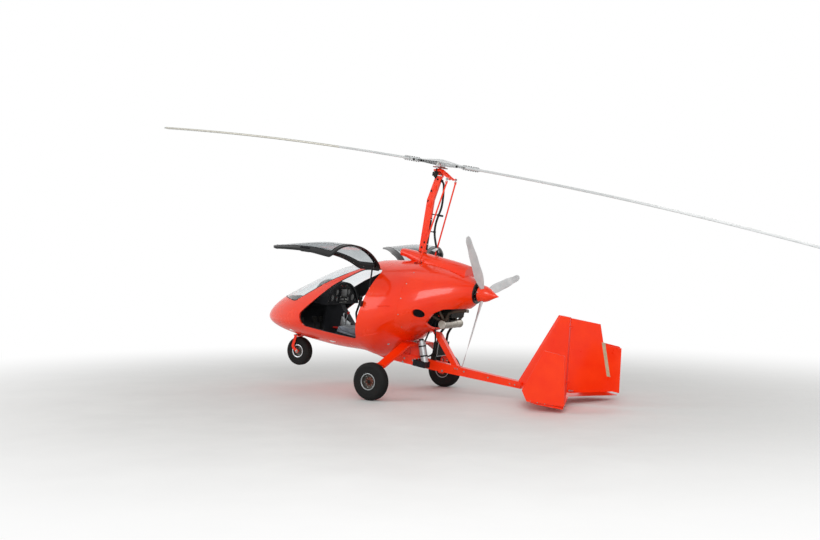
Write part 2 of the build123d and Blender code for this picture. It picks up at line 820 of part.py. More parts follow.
with BuildPart() as one_blade:
    with BuildLine() as droop:
        TangentArc((blade_root, 0, 0), (rotor_radius, 0, -blade_droop), tangent=(1, 0, 0))
    with BuildSketch(Plane(origin=(blade_root, spar, 0), x_dir=(0, -1, 0), z_dir=(-1, 0, 0))):
        with BuildLine():
            ThreePointArc((14, blade_upper - 4), (0, 1), (14, -blade_lower + 2))
            ThreePointArc((14, -blade_lower + 2), (75, -blade_lower), (blade_chord, -1))
            Line((blade_chord, -1), (blade_chord, 1))
            ThreePointArc((blade_chord, 1), (75, blade_upper), (14, blade_upper - 4))
        make_face()
    sweep(path=droop.line)

with BuildPart() as rotor_blades:
    add(one_blade.part)
    add(one_blade.part, rotation=(0, 0, 180))
finish(rotor_blades, "rotor_blades", hub * heading)

# Control rods: an eye turning on the head's cross tube, and a rod pinned in the eye
rod_pin = 4
pin_drop = 28
pin_z = eye.Z - pin_drop
with BuildPart() as rod_eye:
    with BuildSketch(Plane.XZ.offset(-eye_y)):
        with Locations((eye.X, eye.Z)):
            Circle(cross_tube + 7)
        with Locations((eye.X, eye.Z - 20)):
            Rectangle(8, 28)
        with Locations((eye.X, eye.Z)):
            Circle(cross_tube + pin_fit, mode=Mode.SUBTRACT)
    extrude(amount=6, both=True)
    with BuildSketch(Plane.YZ.offset(eye.X)):
        with Locations((eye_y, pin_z)):
            Circle(rod_pin + pin_fit)
    extrude(amount=20, both=True, mode=Mode.SUBTRACT)
finish_pair(rod_eye, "rod_eye")

with BuildPart() as control_rod:
    with BuildSketch(Plane.XZ.offset(-eye_y)):
        with BuildLine():
            Polyline(
                (eye.X - 10, pin_z - 24), (eye.X + 10, pin_z - 24), (eye.X + 10, pin_z + 6),
                (eye.X + 4 + fit, pin_z + 6), (eye.X + 4 + fit, pin_z - 14), (eye.X - 4 - fit, pin_z - 14),
                (eye.X - 4 - fit, pin_z + 6), (eye.X - 10, pin_z + 6), close=True,
            )
        make_face()
    extrude(amount=8, both=True)
    with BuildSketch(Plane.YZ.offset(eye.X)):
        with Locations((eye_y, pin_z)):
            Circle(rod_pin)
    extrude(amount=10, both=True)
    along = Vector(rod_lean[0], rod_lean[1], -1)
    with BuildSketch(Plane(origin=(eye.X, eye_y, pin_z - 20), z_dir=along)):
        Circle(rod_radius)
    extrude(amount=(pin_z - 20 - rod_end_z) * along.length)
finish_pair(control_rod, "control_rod")

# Engine: a plain block with its gearbox nose, mounted on the firewall
engine_rear_x = 500
shaft_radius = 20
with BuildPart() as engine_block:
    with BuildSketch(Plane.YZ.offset(firewall_x + 10 + fit)):
        with Locations((0, 1125)):
            RectangleRounded(290, 330, 40)
    extrude(amount=engine_rear_x - firewall_x - 10)
    with BuildSketch(Plane.YZ.offset(engine_rear_x - 10)):
        with Locations((0, prop_z)):
            Circle(82)
    extrude(amount=150)
    with BuildSketch(Plane.YZ.offset(engine_rear_x)):
        with Locations((0, prop_z)):
            Circle(shaft_radius + pin_fit)
    extrude(amount=200, mode=Mode.SUBTRACT)
finish(engine_block, "engine_block")

# Muffler under the engine, with its tailpipe
muffler_x = 430
muffler_z = 880
pipe_y = -168
with BuildPart() as muffler:
    with BuildSketch(Plane.XZ.offset(-200)):
        with Locations((muffler_x, muffler_z)):
            Circle(46)
    extrude(amount=400)
    fillet(muffler.edges().filter_by(GeomType.CIRCLE), 10)
    with BuildSketch(Plane.XY.offset(muffler_z)):
        with Locations((muffler_x, -90), (muffler_x, 90)):
            Circle(16)
    extrude(amount=1125 - 165 - muffler_z - fit)
    with BuildLine() as pipe_line:
        FilletPolyline(
            (muffler_x, pipe_y, muffler_z + 20), (muffler_x + 60, pipe_y, 1030), (710, pipe_y, 1085), radius=60
        )
    with BuildSketch(Plane(origin=pipe_line.line @ 0, z_dir=pipe_line.line % 0)):
        Circle(17)
    sweep()
finish(muffler, "muffler")

# Battery box on the keel's left side and the oil canister that stands on it, leaning forward
box_top = 418
canister_foot = (222, -98, 420)
canister_lean = (-72, 0, 205)
with BuildPart() as battery_box:
    with BuildSketch(Plane.XY.offset(352)):
        with Locations((185, -keel_width / 2 - fit - 58)):
            Rectangle(160, 116)
    extrude(amount=box_top - 352)
    chamfer(battery_box.edges().filter_by(Axis.Z), 6)
finish(battery_box, "battery_box")

with BuildPart() as oil_canister:
    with BuildSketch(Plane(origin=canister_foot, z_dir=canister_lean).offset(-30)):
        Circle(42)
    extrude(amount=250)
    with BuildSketch(Plane(origin=canister_foot, z_dir=canister_lean).offset(220)):
        Circle(26)
    extrude(amount=20)
    with BuildSketch(Plane.XY.offset(box_top + fit)):
        Rectangle(2000, 2000)
    extrude(amount=-200, mode=Mode.SUBTRACT)
finish(oil_canister, "oil_canister")

with BuildPart() as radiator:
    with BuildSketch(Plane.YZ.offset(232)):
        with Locations((160, 556)):
            RectangleRounded(250, 160, 12)
        with Locations((25, 460)):
            Rectangle(26, 46 - 2 * fit)
    extrude(amount=56)
finish(radiator, "radiator")

# Propeller: three blades on a hub core with its flange and shaft, and the spinner over the core
blade_plane_x = prop_x + 46
hub_core = 58
prop_stations = [
    (hub_core - 8, 40, 30, 60), (130, 62, 26, 48), (300, 104, 17, 34),
    (550, 98, 12, 24), (760, 74, 8, 19), (prop_radius, 34, 4, 17),
]
with BuildPart() as propeller:
    for turn in (0, 120, 240):
        out = Vector(0, sin(radians(blade_phase + turn)), cos(radians(blade_phase + turn)))
        blade_sections = []
        for radius, chord, thickness, angle in prop_stations:
            station = Vector(blade_plane_x, 0, prop_z) + out * radius
            with BuildSketch(Plane(origin=station, x_dir=(1, 0, 0), z_dir=out), mode=Mode.PRIVATE) as section:
                Ellipse(chord / 2, thickness / 2, rotation=90 - angle)
            blade_sections.append(section.sketch)
        loft(sections=blade_sections)
    for start, end, radius in (
        (prop_x - 12, blade_plane_x + 20, hub_core), (engine_rear_x + 20, prop_x - 12, shaft_radius),
    ):
        with BuildSketch(Plane.YZ.offset(start)):
            with Locations((0, prop_z)):
                Circle(radius)
        extrude(amount=end - start)
finish(propeller, "propeller")

with BuildPart() as spinner:
    with BuildSketch(Plane.XZ):
        with BuildLine():
            front = prop_x + 3
            Polyline((front + 140, prop_z), (front, prop_z), (front, prop_z + spinner_radius))
            ThreePointArc(
                (front, prop_z + spinner_radius), (front + 60, prop_z + spinner_radius - 4),
                (front + 130, prop_z + 58),
            )
            ThreePointArc(
                (front + 130, prop_z + 58), (front + 185, prop_z + 24), (front + spinner_length, prop_z + 4),
            )
            Polyline((front + spinner_length, prop_z + 4), (front + spinner_length, prop_z), (front + 140, prop_z))
        make_face()
    revolve(axis=Axis((0, 0, prop_z), (1, 0, 0)))
    with BuildSketch(Plane.YZ.offset(front)):
        with Locations((0, prop_z)):
            Circle(hub_core + fit)
    extrude(amount=blade_plane_x + 20 + fit - front, mode=Mode.SUBTRACT)
    for turn in (0, 120, 240):
        out = Vector(0, sin(radians(blade_phase + turn)), cos(radians(blade_phase + turn)))
        station = Vector(blade_plane_x, 0, prop_z) + out * (hub_core - 10)
        with BuildSketch(Plane(origin=station, x_dir=(1, 0, 0), z_dir=out)):
            Ellipse(29, 18, rotation=90 - 55)
        extrude(amount=spinner_radius, mode=Mode.SUBTRACT)
finish(spinner, "spinner")

# Doors, drawn shut on the starboard side and swung up about their hinges
door_hinge = Location((0, hinge_y, hinge_z), (door_open, 0, 0)) * Location((0, -hinge_y, -hinge_z))
arm_stations = (-545, -375)
arm_width = 10
door_pin = 5
spring_x = -392
spring_stud = (372, 1292)
spring_foot = (480, 980)
stud_pin = 4
foot_pin = 5
with BuildPart() as door_frame:
    add(pod_outside)
    add(pod_door_face, mode=Mode.SUBTRACT)
    extrude(outline(door_outline, door_radii, swing_gap), amount=-1000, mode=Mode.INTERSECT)
    extrude(outline(door_outline, door_radii, swing_gap + door_rail), amount=-1000, mode=Mode.SUBTRACT)
    for station in arm_stations:
        with BuildSketch(Plane.YZ.offset(station)):
            with BuildLine():
                Polyline(
                    (hinge_y - 8, hinge_z), (hinge_y - 8, hinge_z - 100), (hinge_y + 8, hinge_z - 100),
                    (hinge_y + 8, hinge_z), close=True,
                )
            make_face()
            with Locations((hinge_y, hinge_z)):
                Circle(11)
                Circle(door_pin + pin_fit, mode=Mode.SUBTRACT)
        extrude(amount=arm_width)
    with BuildSketch(Plane.YZ.offset(arm_stations[1])):
        with Locations(spring_stud):
            Circle(12)
    extrude(amount=arm_width)
    with BuildSketch(Plane.YZ.offset(spring_x - 8)):
        with Locations(spring_stud):
            Circle(stud_pin)
    extrude(amount=arm_stations[1] - spring_x + 10)
finish_pair(door_frame, "door_frame", door_hinge)

with BuildPart() as door_glass:
    add(pod_outside)
    add(pod_glass_face, mode=Mode.SUBTRACT)
    extrude(outline(door_outline, door_radii, swing_gap + door_rail + fit), amount=-1000, mode=Mode.INTERSECT)
finish_pair(door_glass, "door_glass", door_hinge)

# Gas springs, drawn with the doors open: cylinder hung from the door's stud, rod down to its foot
cylinder_length = 235
rod_length = 245
spring_top = (door_hinge * Location((0, *spring_stud))).position
spring_plane = Plane(
    origin=(spring_x, spring_top.Y, spring_top.Z), x_dir=(1, 0, 0),
    z_dir=(0, spring_foot[0] - spring_top.Y, spring_foot[1] - spring_top.Z),
)
spring_reach = (spring_top - Vector(0, *spring_foot)).length
spring_rod_radius = 4
with BuildPart() as spring_cylinder:
    with BuildSketch(Plane.YZ.offset(spring_x - 6)):
        with Locations((spring_top.Y, spring_top.Z)):
            Circle(11)
    extrude(amount=12)
    with BuildSketch(spring_plane.offset(6)):
        Circle(9)
    extrude(amount=cylinder_length - 6)
    with BuildSketch(spring_plane.offset(16)):
        Circle(spring_rod_radius + pin_fit)
    extrude(amount=cylinder_length, mode=Mode.SUBTRACT)
    with BuildSketch(Plane.YZ.offset(spring_x - 10)):
        with Locations((spring_top.Y, spring_top.Z)):
            Circle(stud_pin + pin_fit)
    extrude(amount=20, mode=Mode.SUBTRACT)
finish_pair(spring_cylinder, "spring_cylinder")

with BuildPart() as spring_rod:
    with BuildSketch(spring_plane.offset(spring_reach - rod_length)):
        Circle(spring_rod_radius)
    extrude(amount=rod_length - 6)
    with BuildSketch(Plane.YZ.offset(spring_x - 5)):
        with Locations(spring_foot):
            Circle(10)
            Circle(foot_pin, mode=Mode.SUBTRACT)
    extrude(amount=10)
finish_pair(spring_rod, "spring_rod")

# Fixed door metal: hinge lugs on the roof, and the feet of the gas springs on the rear pillars
with BuildPart() as door_brackets:
    for station in arm_stations:
        with BuildSketch(Plane.YZ.offset(station - 12)):
            with BuildLine():
                Polyline(
                    (hinge_y - 82, hinge_z - 62), (hinge_y - 24, hinge_z - 62), (hinge_y + 10, hinge_z - 4),
                    (hinge_y, hinge_z + 11), (hinge_y - 14, hinge_z + 11), close=True,
                )
            make_face()
        extrude(amount=arm_width)
        with BuildSketch(Plane.YZ.offset(station - 12)):
            with Locations((hinge_y, hinge_z)):
                Circle(door_pin)
        extrude(amount=12 + arm_width + 2)
    add(pod_outside, mode=Mode.SUBTRACT)
    with BuildSketch(Plane.YZ.offset(spring_x + 22)):
        with BuildLine():
            Polyline(
                (spring_foot[0] - 10, spring_foot[1] - 12), (650, spring_foot[1] - 34),
                (650, spring_foot[1] + 34), (spring_foot[0] - 10, spring_foot[1] + 12), close=True,
            )
        make_face()
    extrude(amount=10)
    with BuildSketch(Plane.YZ.offset(spring_x + 6.5)):
        with Locations(spring_foot):
            Circle(foot_pin)
    extrude(amount=20)
    add(cabin_shell.part, mode=Mode.SUBTRACT)
    split(bisect_by=Plane.XZ, keep=Keep.BOTTOM)
    mirror(about=Plane.XZ)
finish(door_brackets, "door_brackets")
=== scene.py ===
"""The parked gyrocopter: finishes for its frame, and the fittings, trim and soft goods on it.

Every piece is drawn in millimetres on the level aircraft, X aft of the main axle, Y to starboard and Z
up, and is then leaned back to the parked attitude.
"""

from math import cos, pi, radians, sin, sqrt, tan

import bmesh
import bpy
from bpy.props import FloatProperty, FloatVectorProperty, IntProperty, PointerProperty
from mathutils import Matrix, Vector
from mathutils.bvhtree import BVHTree


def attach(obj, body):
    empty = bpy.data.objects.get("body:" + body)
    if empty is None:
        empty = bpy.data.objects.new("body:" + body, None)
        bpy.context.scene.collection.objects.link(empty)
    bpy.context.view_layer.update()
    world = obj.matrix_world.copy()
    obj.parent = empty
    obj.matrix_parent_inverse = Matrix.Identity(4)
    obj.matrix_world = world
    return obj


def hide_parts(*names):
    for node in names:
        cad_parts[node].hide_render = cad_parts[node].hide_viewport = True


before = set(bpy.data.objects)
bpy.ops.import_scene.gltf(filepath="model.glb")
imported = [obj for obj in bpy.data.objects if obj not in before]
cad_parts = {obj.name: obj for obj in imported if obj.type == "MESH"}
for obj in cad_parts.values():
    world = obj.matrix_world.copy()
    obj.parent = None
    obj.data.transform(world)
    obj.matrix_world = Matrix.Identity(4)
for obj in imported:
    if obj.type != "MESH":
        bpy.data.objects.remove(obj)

bl_info = {
    "name": "Gyrocopter dressing",
    "version": (1, 0, 0),
    "blender": (4, 5, 0),
    "location": "View3D > Sidebar > Gyrocopter",
    "description": "Finishes, fittings and soft goods of a parked two-seat gyrocopter",
    "category": "Object",
}

# The parked attitude, in radians and metres, and the matrix to it from millimetres on the level aircraft
PITCH = radians(9.4)
AXLE = 0.204
HUB_SHIFT = 0.4047955
LEVEL = Matrix((
    (cos(PITCH), 0, sin(PITCH), -AXLE * sin(PITCH) - HUB_SHIFT),
    (0, 1, 0, 0),
    (-sin(PITCH), 0, cos(PITCH), AXLE - AXLE * cos(PITCH)),
    (0, 0, 0, 1),
)) @ Matrix.Scale(0.001, 4)
UNLEVEL = LEVEL.inverted()

TOWER_TOP = 116          # teeter bolt above the head's pivots
PIVOT = LEVEL @ Matrix.Translation((8, 0, 2498)) @ Matrix.Rotation(radians(1.65), 4, "Y")
TURN = Matrix.Rotation(radians(-1.6), 4, "Z")
HUB = PIVOT @ Matrix.Translation((0, 0, TOWER_TOP)) @ TURN
TOWER = PIVOT @ TURN
HINGE_Y, HINGE_Z, DOOR_OPEN = 372, 1392, 88      # the doors' hinges, and how many degrees they stand open
TYRE_R, TYRE_HALF, TRACK_HALF = 204, 64, 797.5   # a main tyre's radius and half width, and half the track
PROP_Z = 1281            # height of the propeller's axis
DROOP_RADIUS = 46979.6   # of the arc that each blade droops along
ROD_HOLE = (-5.2, 159)   # x and y of a control rod's hole in the roof
STARTER = (12, -92)      # x and y of the rotor's starter on the head
PANEL_X = -1057.6        # aft face of the instrument panel
DUCT_X, DUCT_Z = 262, 984                # middle of a duct's mouth in the pod's side
CYLINDERS, CYLINDER_Z = (262, 402), 1104
INTAKE_X, INTAKE_Y = 332, 92             # an air intake's axis above the cylinders
MUFFLER_X, MUFFLER_Z = 430, 880
# How far out the rays start that land trim: from above, beside the pod, beside the keel and the tail, and
# between the fin and an end plate
ABOVE, FAR, NEAR, CLOSE = 2000, 900, 300, 200

DOOR_SIDE = ((-1300, 690), (-1262, 558), (-452, 560), (-312, 1368), (-590, 1322), (-890, 1092))
DOOR_RADII = (70, 110, 45, 30, 160, 500)
SCREEN_SIDE = ((-2300, 792), (-1440, 806), (-1010, 1112), (-560, 1372), (-480, 1500), (-480, 1800))
SCREEN_RADII = (1, 150, 500, 120, 20, 1)
SIDES = ((1, "right"), (-1, "left"))    # starboard and port, and the word that pieces are named by
X, Y, Z = Vector((1, 0, 0)), Vector((0, 1, 0)), Vector((0, 0, 1))


def linear(code):
    """An sRGB hex colour, or a colour already linear, as the RGBA that shaders take."""
    if not isinstance(code, str):
        return tuple(code) + (1.0,)
    parts = [int(code[i:i + 2], 16) / 255 for i in (1, 3, 5)]
    return tuple(p / 12.92 if p <= 0.04045 else ((p + 0.055) / 1.055) ** 2.4 for p in parts) + (1.0,)


def node(tree, kind, settings=None, inputs=None):
    """Add a node, set its attributes, and give its inputs values or links."""
    made = tree.nodes.new(kind)
    for key, value in (settings or {}).items():
        setattr(made, key, value)
    for key, value in (inputs or {}).items():
        if isinstance(value, bpy.types.NodeSocket):
            tree.links.new(value, made.inputs[key])
        else:
            made.inputs[key].default_value = value
    return made


def material(name):
    """An empty node material with its shader joined to its output."""
    made = bpy.data.materials.new(name)
    made.use_nodes = True
    made.node_tree.nodes.clear()
    shader = node(made.node_tree, "ShaderNodeBsdfPrincipled")
    node(made.node_tree, "ShaderNodeOutputMaterial", None, {"Surface": shader.outputs["BSDF"]})
    return made, made.node_tree, shader


def blend_tones(ramp, low, high, start, end):
    """Set a colour ramp to run from one tone to another between two stops."""
    for stop, at, tone in zip(ramp.color_ramp.elements, (start, end), (low, high)):
        stop.position, stop.color = at, linear(tone)


def mottle(tree, shader, low, high, size_mm, rough=None, bump=None):
    """Colour that drifts between two tones, roughness that drifts with it, and a fine relief.

    size_mm is the width of a patch, rough a low and high roughness, bump a feature's width, depth and
    strength.
    """
    place = node(tree, "ShaderNodeTexCoord").outputs["Object"]
    drift = node(tree, "ShaderNodeTexNoise", None,
                 {"Vector": place, "Scale": 1000 / size_mm, "Detail": 4.0, "Roughness": 0.6})
    ramp = node(tree, "ShaderNodeValToRGB", None, {"Fac": drift.outputs["Fac"]})
    blend_tones(ramp, low, high, 0.3, 0.7)
    tree.links.new(ramp.outputs["Color"], shader.inputs["Base Color"])
    if rough:
        span = node(tree, "ShaderNodeMapRange", None,
                    {"Value": drift.outputs["Fac"], "From Min": 0.3, "From Max": 0.7,
                     "To Min": rough[0], "To Max": rough[1]})
        tree.links.new(span.outputs["Result"], shader.inputs["Roughness"])
    if bump:
        width, depth, strength = bump
        grain = node(tree, "ShaderNodeTexNoise", None, {"Vector": place, "Scale": 1000 / width, "Detail": 3.0})
        relief = node(tree, "ShaderNodeBump", None,
                      {"Height": grain.outputs["Fac"], "Strength": strength, "Distance": depth / 1000})
        tree.links.new(relief.outputs["Normal"], shader.inputs["Normal"])
    return place


# The shader's own sockets, by the words that the finishes use for them
SOCKETS = {"coat": "Coat Weight", "coat_rough": "Coat Roughness", "shine": "Specular IOR Level",
           "metal": "Metallic", "sheen": "Sheen Weight", "clear": "Transmission Weight", "ior": "IOR",
           "rough": "Roughness"}
KIT = {}


def stock(key, name, mottled=None, **values):
    KIT[key], tree, shader = material(name)
    place = mottle(tree, shader, *mottled) if mottled else node(tree, "ShaderNodeTexCoord").outputs["Object"]
    for word, value in values.items():
        shader.inputs[SOCKETS[word]].default_value = value
    return tree, shader, place


def finishes(look):
    shade, tone = look.body_shade, look.body_tone

    # Polyester gelcoat over glass fibre, polished: deep even colour under a clear wet shine, with the
    # faint waviness that a mould leaves
    stock("gelcoat_orange", "gelcoat_orange_polished", (shade, tone, 420, (0.2, 0.3), (16, 0.05, 0.25)),
          coat=0.35, coat_rough=0.05, shine=0.25)
    # Powder coat baked on welded steel and aluminium: the same colour with a fine orange-peel skin
    stock("powder_orange", "powder_coat_orange_baked", (shade, tone, 260, (0.26, 0.38), (3.0, 0.12, 0.35)),
          coat=0.15, coat_rough=0.14, shine=0.25)
    # Black gelcoat, polished: near black, sharp lights along its edges
    stock("gelcoat_black", "gelcoat_black_polished",
          ("#0B0C0D", "#141516", 180, (0.2, 0.3), (14, 0.05, 0.25)), coat=0.2, coat_rough=0.08, shine=0.25)
    # Cast acrylic, clear: a bright rim and a pale cast where it turns away
    stock("acrylic_clear", "acrylic_clear_cast", ("#EEF3F5", "#F7FAFB", 300, (0.015, 0.05)), clear=1.0, ior=1.49)
    # Cast acrylic, smoke tinted: grey all through, with light swirls from wiping
    stock("acrylic_smoke", "acrylic_smoke_cast", (look.smoke_tone, "#CDD2D4", 220, (0.03, 0.09)),
          clear=1.0, ior=1.49)

    # ABS, moulded with a leather grain: matt black pebbles a millimetre or two across
    tree, shader, place = stock("abs_black", "abs_black_grained", ("#16171A", "#202125", 90, (0.5, 0.66)),
                                shine=0.2)
    pebble = node(tree, "ShaderNodeTexVoronoi", {"feature": "SMOOTH_F1"}, {"Vector": place, "Scale": 1000 / 1.8})
    relief = node(tree, "ShaderNodeBump", None,
                  {"Height": pebble.outputs["Distance"], "Strength": 0.35, "Distance": 0.0003})
    tree.links.new(relief.outputs["Normal"], shader.inputs["Normal"])

    # Needle-punched carpet on the cabin floor: soft and lightless, with tufts
    stock("carpet", "carpet_charcoal_needled", ("#1B1C1F", "#2A2B2E", 14, (0.9, 0.98), (2.4, 0.9, 0.8)),
          sheen=0.25, shine=0.2)

    # Woven polyester upholstery in two greys. Real threads are under a millimetre and would not show,
    # so they are drawn coarser
    tree, shader, place = stock("upholstery", "polyester_grey_woven", rough=0.88, sheen=0.35)
    warp, weft = (node(tree, "ShaderNodeTexWave", {"wave_type": "BANDS", "bands_direction": way},
                       {"Vector": place, "Scale": 100 * pi / look.thread, "Distortion": 0.4, "Detail": 1.0})
                  for way in "XY")
    cross = node(tree, "ShaderNodeMath", {"operation": "MULTIPLY"}, {0: warp.outputs["Fac"], 1: weft.outputs["Fac"]})
    wear = node(tree, "ShaderNodeTexNoise", None, {"Vector": place, "Scale": 12.0, "Detail": 5.0})
    tone = node(tree, "ShaderNodeMath", {"operation": "MULTIPLY_ADD"},
                {0: cross.outputs["Value"], 1: 0.5, 2: wear.outputs["Fac"]})
    ramp = node(tree, "ShaderNodeValToRGB", None, {"Fac": tone.outputs["Value"]})
    blend_tones(ramp, "#40444C", "#7C828C", 0.35, 0.95)
    tree.links.new(ramp.outputs["Color"], shader.inputs["Base Color"])
    relief = node(tree, "ShaderNodeBump", None,
                  {"Height": cross.outputs["Value"], "Strength": 0.5, "Distance": 0.0006})
    tree.links.new(relief.outputs["Normal"], shader.inputs["Normal"])

    # Nylon webbing, woven flat: black with ribs across it every 2 mm
    tree, shader, place = stock("webbing", "nylon_webbing_woven", ("#15161A", "#23252A", 60, (0.55, 0.7)), shine=0.2)
    rib = node(tree, "ShaderNodeTexWave", {"wave_type": "BANDS", "bands_direction": "Z"},
               {"Vector": place, "Scale": 100 * pi / 2, "Distortion": 0.2})
    relief = node(tree, "ShaderNodeBump", None, {"Height": rib.outputs["Fac"], "Strength": 0.4, "Distance": 0.0004})
    tree.links.new(relief.outputs["Normal"], shader.inputs["Normal"])

    # Carbon-black rubber, moulded and run in: brown dust on black, dull and finely pitted
    stock("rubber", "rubber_black_moulded", ("#0E0E0F", "#1D1C1B", 55, (0.62, 0.82), (2.2, 0.35, 0.6)), shine=0.2)
    # EPDM seal and hose rubber, extruded: clean smooth black
    stock("epdm", "epdm_black_extruded", ("#0D0D0F", "#18181A", 40, (0.42, 0.55), (5, 0.1, 0.3)), shine=0.2)
    # Cast aluminium wheel under satin dark paint, brake dust in the hollows
    stock("rim_dark", "cast_aluminium_dark_painted", ("#3E3C3A", "#5A5650", 38, (0.38, 0.55), (3, 0.15, 0.35)),
          metal=0.35)
    # Aluminium, turned: bright, with fine rings that break the light into streaks
    stock("aluminium", "aluminium_turned", ("#B9BCC0", "#D2D4D6", 24, (0.24, 0.38), (0.9, 0.05, 0.3)), metal=1.0)
    # Aluminium plate, milled and clear anodised: even mid grey with a soft shine
    stock("anodised", "aluminium_anodised_grey", ("#A3A7A9", "#B8BBBC", 70, (0.34, 0.46), (1.4, 0.05, 0.3)),
          metal=0.8)
    # Stainless sheet, brushed and heat stained: straw and grey patches over fine scratches
    stock("stainless", "stainless_brushed_stained", ("#8D867B", "#B6B2AA", 60, (0.28, 0.5), (1.2, 0.08, 0.4)),
          metal=1.0)
    # Mild steel pipe, bent and heat browned: matt dark brown-grey with paler bends
    stock("exhaust", "steel_pipe_heat_browned", ("#2E2823", "#57493D", 70, (0.5, 0.7), (2, 0.1, 0.4)), metal=0.7)
    # Steel rod, ground and hard-chromed: a clean mirror
    stock("chrome", "steel_ground_chromed", ("#C4C6C9", "#D8DADC", 30, (0.1, 0.18)), metal=1.0)
    # Steel fasteners, zinc plated: slightly warm grey, dull in the corners
    stock("zinc", "steel_zinc_plated", ("#8E8F8C", "#B7B6AE", 9, (0.34, 0.52), (0.8, 0.04, 0.3)), metal=1.0)
    # Two-pack polyurethane on aluminium blades, rolled: satin white, dulled by flies and rain
    stock("blade_white", "polyurethane_white_satin", ("#C4C8C8", "#D6D9D9", 240, (0.34, 0.5), (7, 0.05, 0.3)),
          coat=0.15, coat_rough=0.3)
    # Gelcoat on the propeller, moulded: pale grey with a low shine
    stock("prop_pale", "gelcoat_pale_grey_moulded", ("#C2C5C6", "#D6D8D8", 110, (0.28, 0.4), (9, 0.05, 0.3)),
          coat=0.3, coat_rough=0.2)
    # Nickel strip along the blades' leading edges, electroformed: warm silver with stone marks
    stock("nickel", "nickel_electroformed_strip", ("#9C9A92", "#C4C2B8", 16, (0.25, 0.45), (2, 0.12, 0.4)),
          metal=1.0)
    # Aluminium castings of the engine, sand cast and painted black: coarse skin, oily sheen
    stock("engine_black", "aluminium_sand_cast_black", ("#141414", "#26241F", 45, (0.42, 0.68), (1.8, 0.4, 0.6)),
          metal=0.3, shine=0.2)
    # Steel brake disc, ground, with a brown bloom of rust
    stock("disc", "steel_disc_rust_bloomed", ("#4A2A20", "#75463A", 22, (0.45, 0.65), (1.1, 0.08, 0.4)), metal=0.75)
    # Red polypropylene of knobs and caps, moulded: strong colour, waxy shine
    stock("red_plastic", "polypropylene_red_moulded", ("#B3140F", "#CC1E14", 30, (0.34, 0.46), (2.5, 0.06, 0.3)))
    # White nylon of small fittings and the coolant bottle, moulded: milky, with a soft shine
    stock("white_nylon", "nylon_white_moulded", ("#D5D7D6", "#E9EAE9", 25, (0.35, 0.5), (3, 0.05, 0.2)))
    # Grey ink on the dials, screen printed: matt and flat
    stock("ink", "ink_grey_printed", ("#7C8084", "#8E9296", 20, (0.6, 0.7)))
    # Display glass over a black mask, float glass: black and mirror smooth
    stock("display", "glass_display_black", ("#0A0D11", "#12171D", 60, (0.16, 0.26)), coat=0.3, coat_rough=0.12)
    # Aluminium strip with a chromate film, dipped: a dull tan that drifts to gold
    stock("tan_strip", "aluminium_chromate_tan", ("#A89878", "#C2B294", 50, (0.4, 0.55), (2, 0.06, 0.3)))


def stuff(name):
    """A material by its short name, all of them made the first time one is wanted."""
    if not KIT:
        finishes(bpy.context.scene.gyro_look)
    return KIT[name]


def bridge(bm, rings, loop=False, ends=False):
    """Join rings of vertices with faces, and close the ends if asked. A ring of one vertex is a point."""
    for a, b in zip(rings, rings[1:] + rings[:1] if loop else rings[1:]):
        count = max(len(a), len(b))
        for k in range(count):
            j = (k + 1) % count
            corners = tuple(dict.fromkeys((a[k % len(a)], a[j % len(a)], b[j % len(b)], b[k % len(b)])))
            if len(corners) > 2:
                bm.faces.new(corners)
    if ends:
        bm.faces.new(rings[0][::-1])
        bm.faces.new(rings[-1])


def circle(count, radius=1.0, start=0.0):
    """Points evenly round a circle, as (x, y) pairs."""
    angles = [2 * pi * k / count + start for k in range(count)]
    return [(radius * cos(a), radius * sin(a)) for a in angles]


def lathe(bm, origin, axis, profile, steps=32, loop=False):
    """Turn a profile of (along, radius) pairs about an axis."""
    origin, axis = Vector(origin), Vector(axis).normalized()
    side = axis.orthogonal().normalized()
    up = axis.cross(side)
    rings = []
    for along, radius in profile:
        middle = origin + axis * along
        if radius < 1e-4:
            rings.append([bm.verts.new(middle)])
        else:
            rings.append([bm.verts.new(middle + (side * x + up * y) * radius) for x, y in circle(steps)])
    bridge(bm, rings, loop)


def headings(points, loop):
    """The direction of travel at each point of a line."""
    count = len(points)
    return [(points[(i + 1) % count if loop or i < count - 1 else i]
             - points[(i - 1) % count if loop or i else i]).normalized() for i in range(count)]


def tube(bm, points, radius, sides=10, loop=False):
    """A round tube through points, with closed ends. The radius may be a list, one for each point."""
    points = [Vector(p) for p in points]
    radii = radius if isinstance(radius, (list, tuple)) else [radius] * len(points)
    rings, side = [], None
    for p, along, r in zip(points, headings(points, loop), radii):
        if side is None:
            side = along.orthogonal().normalized()
        side = (side - along * side.dot(along)).normalized()
        up = along.cross(side)
        rings.append([bm.verts.new(p + (side * x + up * y) * r) for x, y in circle(sides)])
    bridge(bm, rings, loop, ends=not loop)


def strip(bm, line, profile, loop=False):
    """Sweep a small section of (across, up) pairs along (point, up direction) pairs."""
    points = [Vector(p) for p, _ in line]
    rings = []
    for p, along, (_, up) in zip(points, headings(points, loop), line):
        across = along.cross(Vector(up).normalized()).normalized()
        up = across.cross(along).normalized()
        rings.append([bm.verts.new(p + across * a + up * u) for a, u in profile])
    bridge(bm, rings, loop, ends=not loop)


def slab(bm, outline, place, thickness, soft=0.0):
    """A flat plate: an outline in the place matrix's XY, half the thickness each side, edges softened."""
    low, high = ([bm.verts.new(place @ Vector((x, y, z))) for x, y in outline]
                 for z in (-thickness / 2, thickness / 2))
    made = [bm.faces.new(low[::-1]), bm.faces.new(high)]
    for k in range(len(outline)):
        j = (k + 1) % len(outline)
        made.append(bm.faces.new((low[k], low[j], high[j], high[k])))
    if soft:
        bmesh.ops.bevel(bm, geom=list({e for f in made for e in f.edges}), offset=soft, segments=2,
                        affect="EDGES", profile=0.6, clamp_overlap=True)


